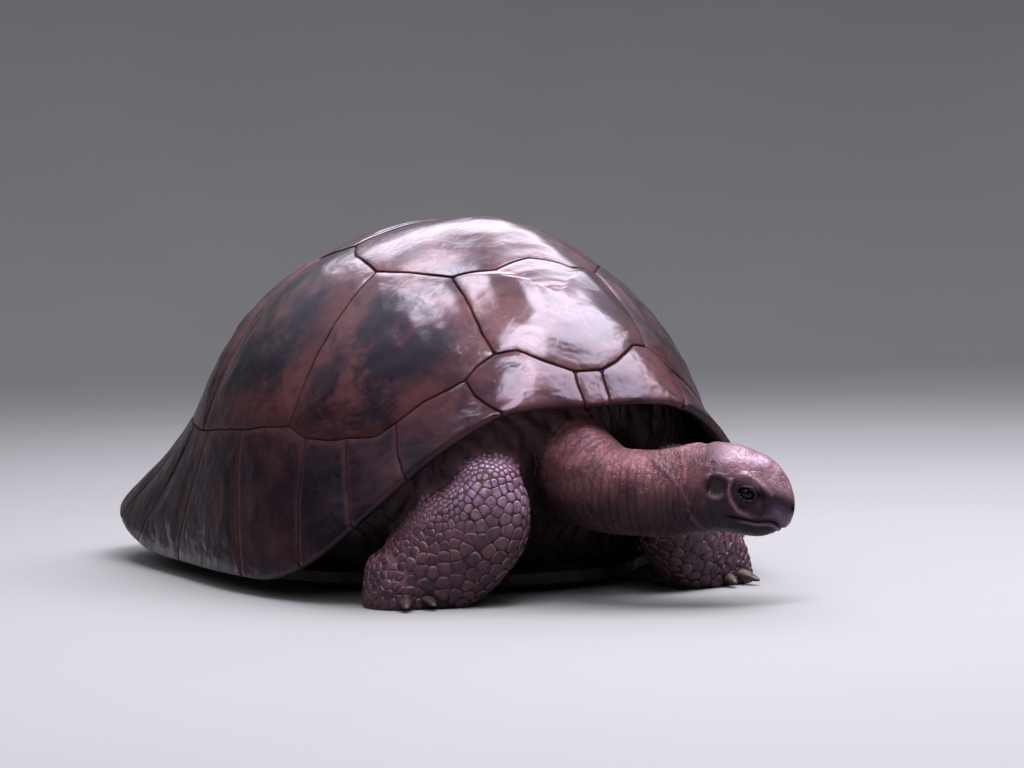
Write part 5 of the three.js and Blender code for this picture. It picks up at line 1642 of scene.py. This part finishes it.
def shell_finish(settings):
    """Wet glossy horn with dark seams, blotches and faint growth rings, and painted shade that darkens it
    towards the rim.
    """
    s = Shader("wet_horn")
    seam, ring, kind = map(s.mask, ("seam", "ring", "kind"))
    inside = s.math("GREATER_THAN", kind, (RIM + WALL) / 2)
    on_rim = s.ramp(kind, 0.6, 0.9)
    dark = tuple(settings.blotch)
    base = s.paint(tuple(settings.horn), rgb(80, 46, 46), s.ramp(s.noise(150, 3), 0.35, 0.68))
    base = s.paint(base, rgb(52, 28, 36), s.ramp(s.noise(60, 4, 0.6, 0.6), 0.48, 0.72))
    base = stained(s, base, dark, 0.75, 95)
    # Blotches in the middle of the large plates, growth rings nearer their borders.
    blotch = s.times(s.ramp(ring, 0.2, 0.5), s.ramp(s.noise(80, 4, 0.6), 0.37, 0.53), s.rest(on_rim))
    base = s.paint(base, dark, blotch, s.ramp(kind, 0.1, 0.4, 0.35, 1.0), 0.96)
    wander = s.math("MULTIPLY_ADD", s.noise(60, 3), 0.3, ring)
    shown = s.times(s.ramp(ring, 0.8, 0.3), s.ramp(s.noise(45, 2), 0.4, 0.65))
    rings = s.times(s.math("SINE", s.times(wander, 80.0)), shown, s.ramp(kind, 0.6, 0.9, 1.0, 0.25))
    base = s.paint(base, rgb(116, 74, 64), s.ramp(rings, 0.1, 1.0), 0.25)
    # Painted shade: the horn darkens low on the flanks, towards the ground.
    low = s.times(s.ramp(s.height(), 0.38, 0.16), s.ramp(s.noise(120, 4, 0.6), 0.25, 0.6, 0.75, 1.0))
    base = s.paint(base, rgb(18, 11, 21), low, 0.92)
    # Paler borders low down, then the seams themselves and the bare inside.
    border = s.times(s.ramp(seam, 13.0, 3.0), s.ramp(s.noise(50, 3), 0.35, 0.65, 0.2, 1.0))
    base = s.paint(base, rgb(96, 62, 56), border, low, 0.4)
    groove = s.times(s.ramp(seam, 2.4, 0.6), s.ramp(s.noise(70, 3), 0.35, 0.62, 0.4, 1.0))
    base = s.paint(base, tuple(settings.seam), groove, 0.7)
    base = s.paint(base, rgb(58, 42, 40), inside)
    cut = s.ramp(seam, 3.6, 1.4)
    normal = s.bump(s.math("MULTIPLY_ADD", rings, 0.35, s.times(s.noise(10, 3), 0.7)), 0.2)
    normal = s.bump(s.noise(34, 2, 0.5, 0.3), 3.0, normal)
    normal = s.bump(s.noise(3.2, 3, 0.6), 0.06, normal)
    dull = s.math("ADD", s.ramp(s.noise(40, 4, 0.65), 0.4, 0.75, 0.17, 0.36), s.times(inside, 0.4))
    dull = s.math("MAXIMUM", dull, s.times(cut, 0.6))
    wet = s.times(s.rest(cut), s.rest(inside), s.ramp(s.height(), 0.24, 0.48, 0.08, 1.0))
    return s.finished(
        Base_Color=base, Roughness=dull, Normal=normal, Coat_Weight=wet,
        Specular_IOR_Level=s.ramp(cut, 0.0, 1.0, 0.5, 0.15), IOR=1.42,
        Specular_Tint=(0.9, 0.8, 1.0, 1.0), Coat_Roughness=0.23, Coat_IOR=1.75,
    )


NECK_LINES = 0.24              # fine lines round the neck, for each millimetre along it


def skin_finish(settings):
    """Leathery skin: mauve-brown with painted shade below and in its creases, a pinkish crown partly
    lightened as a painted highlight, painted highlights on the folds and the lower lip, and a dark purple
    face.
    """
    s = Shader("tortoise_skin")
    neck, head, leg, torso, crown = map(s.mask, ("neck", "head", "leg", "torso", "crown"))
    mouth, lip, ear, lid, beak = map(s.mask, ("mouth", "lip", "ear", "lid", "beak"))
    crease_shade, fold, along, facing = map(s.mask, ("crease_shade", "fold", "along", "facing"))

    def painted(base, *coats):
        for coat in coats:
            base = s.paint(base, *coat)
        return base

    base = painted(
        tuple(settings.body),
        (rgb(112, 78, 76), s.ramp(s.noise(48, 4), 0.38, 0.66)),
        (rgb(118, 88, 88), leg, 0.9),
        (rgb(76, 50, 48), torso, 0.85),
        (tuple(settings.head), head, 0.9),
        (rgb(98, 58, 64), head, s.ramp(s.noise(11, 4, 0.6), 0.46, 0.66, 0.0, 0.6)),
    )
    base = stained(s, base, rgb(58, 40, 48), 0.5, 36)
    # The crown's plates, a few of them browner, with dark joints between.
    pushed = s.warped(20, 3.0)
    spots = s.ramp(s.cells(9.0, pushed, "F1", "Color"), 0.45, 0.75)
    broken = s.ramp(s.noise(26, 2), 0.35, 0.6, 0.25, 1.0)
    joint = s.times(s.ramp(s.cells(9.0, pushed), 0.16, 0.0), s.times(crown, broken))
    cells = s.cells(3.9, s.warped(12, 1.6))
    base = painted(
        base,
        # Painted shade on the skin that faces the ground.
        (rgb(24, 13, 21), s.ramp(facing, 0.82, 0.3), 0.9),
        # The pale pink crown: partly its own colour, partly a painted highlight from above.
        (tuple(settings.crown), crown, s.ramp(s.noise(24, 4, 0.6), 0.32, 0.58, 0.35, 1.0), 0.9),
        (rgb(146, 98, 92), crown, spots, 0.55),
        (rgb(96, 64, 72), joint, 0.3),
        # A painted highlight along the raised folds round the eye, on the brow and behind the jaw.
        (rgb(156, 120, 130), fold, 0.55),
        (rgb(122, 104, 128), beak, 0.6),
        (rgb(46, 40, 36), ear, 0.8),
        (rgb(38, 28, 42), lid, 0.94),
        # A painted highlight along the lower lip.
        (rgb(134, 112, 136), lip, 0.6),
        (rgb(64, 42, 46), s.ramp(cells, 0.14, 0.0), s.ramp(crown, 0.1, 0.6, 0.2, 0.32)),
        # Painted shade in the valleys of the folds.
        (rgb(38, 24, 28), s.ramp(crease_shade, 0.15, 0.9), 0.75),
    )
    # Fine lines round the neck, sharp in their valleys, where they are darkened as painted shade.
    turn = s.math("MULTIPLY_ADD", s.noise(30, 3), 30.0, s.times(along, NECK_LINES * 2 * math.pi))
    line = s.math("POWER", s.math("ABSOLUTE", s.math("SINE", s.times(turn, 0.5))), 0.5)
    line = s.rest(s.times(neck, s.rest(line)))
    # Painted shade in the neck's fine lines, and in the mouth line and the nostrils.
    base = painted(base, (rgb(52, 32, 36), s.ramp(line, 0.5, 0.1), 0.4), (rgb(26, 16, 20), mouth, 0.9))
    beads = s.times(s.ramp(cells, 0.0, 0.32), s.ramp(crown, 0.1, 0.7, 0.7, 0.5))
    beads = s.math("SUBTRACT", beads, s.times(joint, 2.2))
    normal = s.bump(s.math("MULTIPLY_ADD", s.noise(7, 4, 0.6, 0.6), 0.5, line), 1.0)
    gloss = s.times(s.math("MAXIMUM", lid, crown), 0.12)
    dull = s.math("SUBTRACT", s.ramp(s.noise(16, 3), 0.35, 0.7, 0.36, 0.54), gloss)
    return s.finished(
        Base_Color=base, Roughness=dull, Normal=s.bump(beads, 0.36, normal), Coat_Weight=s.times(crown, 0.7),
        IOR=1.42, Specular_Tint=(0.92, 0.84, 1.0, 1.0), Coat_Roughness=0.3,
    )


def scale_finish(settings):
    """Horny scales, dark purple-grey with paler worn tops, lightened on the upper scales as a painted
    highlight, pinkish between them, darker near the ground.
    """
    s = Shader("limb_scales")
    tone, top, height = s.mask("tone"), s.mask("top"), s.height()
    base = s.paint(tuple(settings.low), rgb(92, 58, 66), s.ramp(tone, 0.3, 1.0))
    # Worn tops, laid thicker on the high scales as a painted highlight from above.
    base = s.paint(base, tuple(settings.top), s.ramp(top, 0.5, 1.0), s.ramp(height, 0.09, 0.18, 0.1, 0.9))
    base = stained(s, base, rgb(50, 34, 46), 0.5, 14)
    base = s.paint(base, rgb(170, 126, 130), s.ramp(top, 0.85, 0.3), 0.85)
    base = s.paint(base, rgb(44, 30, 42), s.ramp(height, 0.12, 0.02), 0.5)
    return s.finished(
        Base_Color=base, Roughness=s.ramp(s.noise(11, 3), 0.35, 0.7, 0.26, 0.5),
        Normal=s.bump(s.noise(1.2, 2), 0.1, s.bump(s.noise(5.5, 4, 0.6), 0.9)),
        Coat_Weight=s.ramp(height, 0.1, 0.19, 0.15, 0.9), IOR=1.4, Coat_Roughness=0.2,
    )


def claw_finish(settings):
    """Dull horn streaked along the claws."""
    s = Shader("claw_horn")
    along = s.node("ShaderNodeMapping", Scale=(1, 0.2, 1), Vector=s.object).outputs[0]
    base = s.paint(tuple(settings.horn), rgb(48, 38, 38), s.ramp(s.noise(6, 4, where=along), 0.35, 0.7))
    base = stained(s, base, rgb(120, 104, 88), 0.5, 18)
    return s.finished(
        Base_Color=base, Roughness=s.ramp(s.noise(8, 3), 0.3, 0.7, 0.28, 0.5),
        Normal=s.bump(s.noise(2.4, 3, where=along), 0.3),
    )


def eye_finish(settings):
    """A dark eye: black pupil, brown iris, and a dark ring at its edge."""
    s = Shader("wet_eye")
    turn = s.mask("turn")
    streaks = s.noise(1.4, 3, 0.6, 0.8)
    iris = s.paint(tuple(settings.iris), rgb(38, 24, 20), s.ramp(streaks, 0.35, 0.7))
    base = s.paint(rgb(4, 3, 4), iris, s.ramp(turn, 17, 19))
    base = s.paint(base, rgb(14, 9, 11), s.ramp(turn, 30, 36))
    base = s.paint(base, rgb(36, 27, 30), s.ramp(turn, 44, 58))
    return s.finished(
        Base_Color=base, Roughness=s.ramp(turn, 30, 60, 0.05, 0.2), Normal=s.bump(streaks, 0.03), IOR=1.36,
    )


def plastron_finish():
    """Dark dull horn of the underside."""
    s = Shader("plastron_horn")
    base = s.paint(rgb(58, 45, 40), rgb(38, 30, 30), s.ramp(s.noise(80, 4), 0.38, 0.66))
    base = stained(s, base, rgb(28, 22, 26), 0.7, 50)
    return s.finished(
        Base_Color=base, Roughness=s.ramp(s.noise(20, 3), 0.35, 0.7, 0.5, 0.75),
        Normal=s.bump(s.noise(14, 4, 0.6), 1.2),
    )


def floor_finish(colour):
    """Plain pale floor with very soft clouds."""
    s = Shader("studio_floor")
    darker = (*(value * 0.97 for value in colour[:3]), 1)
    base = s.paint(tuple(colour), darker, s.ramp(s.noise(900, 2), 0.3, 0.7))
    return s.finished(Base_Color=base, Roughness=0.85)


# ---- studio


LILAC, PALE_LILAC, WARM = (0.93, 0.87, 1.0), (0.92, 0.86, 1.0), (1.0, 0.97, 0.94)
# Name, place, aim, width and height in metres, watts and colour of each light.
PANELS = [
    ("top_panel", (1.5, -0.85, 3.2), (0.05, -0.2, 0.3), (2.4, 2.4), 112, LILAC),
    ("side_panel", (-0.45, -1.4, 3.2), (-0.1, -0.4, 0.3), (1.8, 1.2), 62, LILAC),
    ("crown_panel", (-0.8, 0.95, 3.2), (-0.1, 0.0, 0.45), (1.2, 0.6), 12, LILAC),
    ("rear_panel", (1.1, 2.2, 2.9), (0.0, -0.1, 0.4), (3.2, 1.6), 38, PALE_LILAC),
    ("front_panel", (-2.6, -3.4, 2.2), (-0.1, -0.4, 0.3), (2.0, 1.6), 16, WARM),
]


def area_light(name, place, aim, size, watts, colour):
    light = bpy.data.lights.new(name, "AREA")
    light.shape = "RECTANGLE"
    light.size, light.size_y = size
    light.energy = watts
    light.color = colour
    lamp = bpy.data.objects.new(name, light)
    bpy.context.scene.collection.objects.link(lamp)
    lamp.location = place
    lamp.rotation_euler = (Vector(aim) - Vector(place)).to_track_quat("-Z", "Y").to_euler()


def build_floor(settings):
    """A round floor that rises in a soft curve at its edge, so that no horizon shows."""
    turn = np.linspace(0, math.pi / 2, 14)
    radius = np.concatenate([[0.4, 1, 2, 3.5, 5], 6.5 + 2.5 * np.sin(turn), [9.0]])
    height = np.concatenate([np.zeros(5), 2.5 - 2.5 * np.cos(turn), [3.2]])
    around = np.arange(96) * math.pi / 48
    points = np.concatenate([
        [[r * math.cos(a), r * math.sin(a), z] for a in around] for r, z in zip(radius, height)
    ])
    rings = np.arange(len(points)).reshape(len(radius), -1)
    faces = np.concatenate([grid_faces(rings), fan_faces(rings[0], len(points))[:, ::-1]])
    floor = piece_from("studio_floor", np.concatenate([points, np.zeros((1, 3))]) / MM, faces)
    smooth_faces(floor)
    floor.data.materials.append(floor_finish(settings.floor))


def build_air(settings):
    """Soft light from above that fades towards the edge of the floor."""
    world = bpy.data.worlds.new("studio_air")
    bpy.context.scene.world = world
    world.use_nodes = True
    nodes = Nodes(world.node_tree)
    way = nodes.node("ShaderNodeTexCoord").outputs["Generated"]
    up = nodes.filled("ShaderNodeSeparateXYZ", way).outputs["Z"]
    air = nodes.tree.nodes["Background"]
    light = nodes.paint((0.2, 0.2, 0.22, 1), (0.9, 0.85, 1.0, 1), nodes.ramp(up, 0.12, 0.8))
    nodes.feed(air.inputs["Color"], light)
    air.inputs["Strength"].default_value = settings.air


LENS, SENSOR = 100.0, 36.0     # of the camera, in millimetres
SHIFT = (0.0713, 0.0228)       # of its picture, as shares of the width
LOOK_AT = (0, 0, 0.25)


def build_camera(settings):
    """A camera that looks at the middle of the model, with its picture shifted and slightly tilted."""
    az, el, roll = settings.azimuth, settings.elevation, settings.roll
    right = np.array([math.cos(az), math.sin(az), 0])
    back = np.array([math.sin(az) * math.cos(el), -math.cos(az) * math.cos(el), math.sin(el)])
    up = np.cross(back, right)
    level_right = right * math.cos(roll) - up * math.sin(roll)
    level_up = right * math.sin(roll) + up * math.cos(roll)
    camera = bpy.data.cameras.new("studio_camera")
    camera.lens, camera.sensor_width = LENS, SENSOR
    camera.shift_x, camera.shift_y = SHIFT
    camera.clip_end = 30
    seat = bpy.data.objects.new("studio_camera", camera)
    bpy.context.scene.collection.objects.link(seat)
    axes = Matrix([[level_right[k], level_up[k], back[k]] for k in range(3)]).to_4x4()
    seat.matrix_world = Matrix.Translation(Vector(LOOK_AT) + Vector(back) * settings.distance) @ axes
    bpy.context.scene.camera = seat
    bpy.context.scene.view_settings.view_transform = "Standard"
    bpy.context.scene.view_settings.look = "Medium High Contrast"


# ---- settings


def colour_setting(name, description, default):
    return bpy.props.FloatVectorProperty(
        name=name, description=description, subtype="COLOR", size=4, min=0, max=1, default=default,
    )


def length_setting(name, description, default, lowest, highest):
    return bpy.props.FloatProperty(
        name=name, description=description, default=default, min=lowest, max=highest, unit="LENGTH",
    )


def angle_setting(name, description, degrees):
    return bpy.props.FloatProperty(
        name=name, description=description, default=degrees * RAD, subtype="ANGLE",
    )


class ShellSettings(bpy.types.PropertyGroup):
    """Sizes and colours of the shell"""
    groove_depth: length_setting("Seam depth", "Depth of the seams between the plates", 0.001, 0, 0.006)
    groove_width: length_setting(
        "Seam half width", "From the middle of a seam to the full plate", 0.0021, 0.0015, 0.012,
    )
    horn: colour_setting("Horn", "Main colour of the plates", rgb(104, 63, 60))
    blotch: colour_setting("Blotches", "Dark patches on the plates", rgb(16, 11, 26))
    seam: colour_setting("Seams", "Colour in the seams", rgb(34, 22, 26))


class SkinSettings(bpy.types.PropertyGroup):
    """Sizes and colours of the skin"""
    fold_depth: length_setting("Fold depth", "Depth of the neck's ring folds", 0.0026, 0, 0.004)
    ring_spacing: length_setting("Ring spacing", "Spacing of the neck's ring folds", 0.0105, 0.006, 0.03)
    body: colour_setting("Skin", "Main colour of neck and body", rgb(150, 104, 104))
    head: colour_setting("Head", "Colour of the face", rgb(60, 40, 52))
    # Partly the crown's own pink, partly a painted highlight.
    crown: colour_setting("Crown", "Colour of the top of the head", rgb(184, 152, 164))


class ScaleSettings(bpy.types.PropertyGroup):
    """Sizes and colours of the scales"""
    net_width: length_setting("Gap", "Half of the skin that shows between two scales", 0.0003, 0, 0.003)
    rise: bpy.props.FloatProperty(
        name="Rise", description="Height of a scale as a share of its width", default=0.14,
        min=0, max=0.3, subtype="FACTOR",
    )
    low: colour_setting("Scales", "Main colour of the scales", rgb(50, 30, 46))
    # The tops' colour is partly wear and partly a painted highlight, laid thickest on the upper scales.
    top: colour_setting("Tops", "Colour of their worn tops", rgb(166, 140, 164))


class ClawSettings(bpy.types.PropertyGroup):
    """Length and colour of the claws"""
    length: length_setting("Length", "Length of a claw with its root", 0.046, 0.02, 0.08)
    horn: colour_setting("Horn", "Colour of the claws", rgb(78, 62, 60))


class EyeSettings(bpy.types.PropertyGroup):
    """Size and colour of the eyes"""
    radius: length_setting("Radius", "Radius of the eyeball", 0.0137, 0.01, 0.0138)
    iris: colour_setting("Iris", "Colour of the iris", rgb(20, 13, 13))


class StudioSettings(bpy.types.PropertyGroup):
    """Place of the camera, strength of the soft light and colour of the floor"""
    azimuth: angle_setting("Azimuth", "Turn of the camera round the model", -23.37)
    elevation: angle_setting("Elevation", "Rise of the camera over the model", 3.35)
    roll: angle_setting("Roll", "Tilt of the camera about its own axis", 1.33)
    distance: length_setting("Distance", "Camera to the middle of the model", 4.4946, 1, 20)
    air: bpy.props.FloatProperty(
        name="Air", description="Strength of the soft light from all round", default=0.62, min=0, max=3,
    )
    floor: colour_setting("Floor", "Colour of the floor", rgb(163, 166, 161))


# ---- operators


class BuildStep:
    """What the operators have in common"""
    bl_options = {"REGISTER", "UNDO"}


class TORTOISE_OT_shell(BuildStep, bpy.types.Operator):
    """Builds the domed shell with its plates and seams"""
    bl_idname = "tortoise.shell"
    bl_label = "Shell"

    def execute(self, context):
        settings = context.scene.tortoise_shell
        finish_piece(build_shell(settings), shell_finish(settings), "shell", "carapace")
        return {"FINISHED"}


class TORTOISE_OT_plastron(BuildStep, bpy.types.Operator):
    """Gives the underside its finish"""
    bl_idname = "tortoise.plastron"
    bl_label = "Underside"

    def execute(self, context):
        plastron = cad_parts["plastron"]
        plastron.data.materials.clear()
        plastron.data.materials.append(plastron_finish())
        return {"FINISHED"}


class TORTOISE_OT_skin(BuildStep, bpy.types.Operator):
    """Builds one skin over the head, neck, body, legs, feet and tail"""
    bl_idname = "tortoise.skin"
    bl_label = "Skin"

    def execute(self, context):
        settings = context.scene.tortoise_skin
        parts = ("foreleg", "forefoot", "hindleg", "hindfoot")
        nodes = ["torso", "neck", "head", "tail"]
        nodes += [f"{part}_{side}" for side in ("left", "right") for part in parts]
        finish_piece(build_skin(settings), skin_finish(settings), "skin", *nodes)
        return {"FINISHED"}


class TORTOISE_OT_scales(BuildStep, bpy.types.Operator):
    """Covers the legs, feet and tail with scales"""
    bl_idname = "tortoise.scales"
    bl_label = "Scales"

    def execute(self, context):
        settings = context.scene.tortoise_scales
        finish = scale_finish(settings)
        for piece in build_scales(bpy.data.objects["skin"], settings):
            finish_piece(piece, finish, "limb_scales")
        return {"FINISHED"}


class TORTOISE_OT_claws(BuildStep, bpy.types.Operator):
    """Builds the claws of all four feet"""
    bl_idname = "tortoise.claws"
    bl_label = "Claws"

    def execute(self, context):
        settings = context.scene.tortoise_claws
        finish_piece(build_claws(settings), claw_finish(settings), "limb_scales")
        return {"FINISHED"}


class TORTOISE_OT_eyes(BuildStep, bpy.types.Operator):
    """Builds both eyes"""
    bl_idname = "tortoise.eyes"
    bl_label = "Eyes"

    def execute(self, context):
        settings = context.scene.tortoise_eyes
        finish = eye_finish(settings)
        for side in (1, -1):
            eye = build_eye(side, settings)
            finish_piece(eye, finish, "eye", "eye_left" if side > 0 else "eye_right")
        return {"FINISHED"}


class TORTOISE_OT_studio(BuildStep, bpy.types.Operator):
    """Sets up the floor, the lights and the camera"""
    bl_idname = "tortoise.studio"
    bl_label = "Studio"

    def execute(self, context):
        settings = context.scene.tortoise_studio
        build_floor(settings)
        build_air(settings)
        for panel in PANELS:
            area_light(*panel)
        build_camera(settings)
        return {"FINISHED"}


STEPS = ("shell", "plastron", "skin", "scales", "claws", "eyes", "studio")


class TORTOISE_PT_panel(bpy.types.Panel):
    """Lists the pieces of the tortoise"""
    bl_idname = "TORTOISE_PT_panel"
    bl_label = "Giant Tortoise"
    bl_space_type = "VIEW_3D"
    bl_region_type = "UI"
    bl_category = "Tortoise"

    def draw(self, context):
        for step in STEPS:
            box = self.layout.box()
            box.operator(f"tortoise.{step}")
            settings = getattr(context.scene, f"tortoise_{step}", None)
            if settings:
                for name in settings.__annotations__:
                    box.prop(settings, name)


SETTINGS = {
    "shell": ShellSettings, "skin": SkinSettings, "scales": ScaleSettings, "claws": ClawSettings,
    "eyes": EyeSettings, "studio": StudioSettings,
}
CLASSES = (
    *SETTINGS.values(), TORTOISE_OT_shell, TORTOISE_OT_plastron, TORTOISE_OT_skin, TORTOISE_OT_scales,
    TORTOISE_OT_claws, TORTOISE_OT_eyes, TORTOISE_OT_studio, TORTOISE_PT_panel,
)


def register():
    for item in CLASSES:
        bpy.utils.register_class(item)
    for name, group in SETTINGS.items():
        setattr(bpy.types.Scene, f"tortoise_{name}", bpy.props.PointerProperty(type=group))


def unregister():
    for name in SETTINGS:
        delattr(bpy.types.Scene, f"tortoise_{name}")
    for item in reversed(CLASSES):
        bpy.utils.unregister_class(item)


def main():
    register()
    for step in STEPS:
        getattr(bpy.ops.tortoise, step)()


if __name__ == "__main__":
    main()
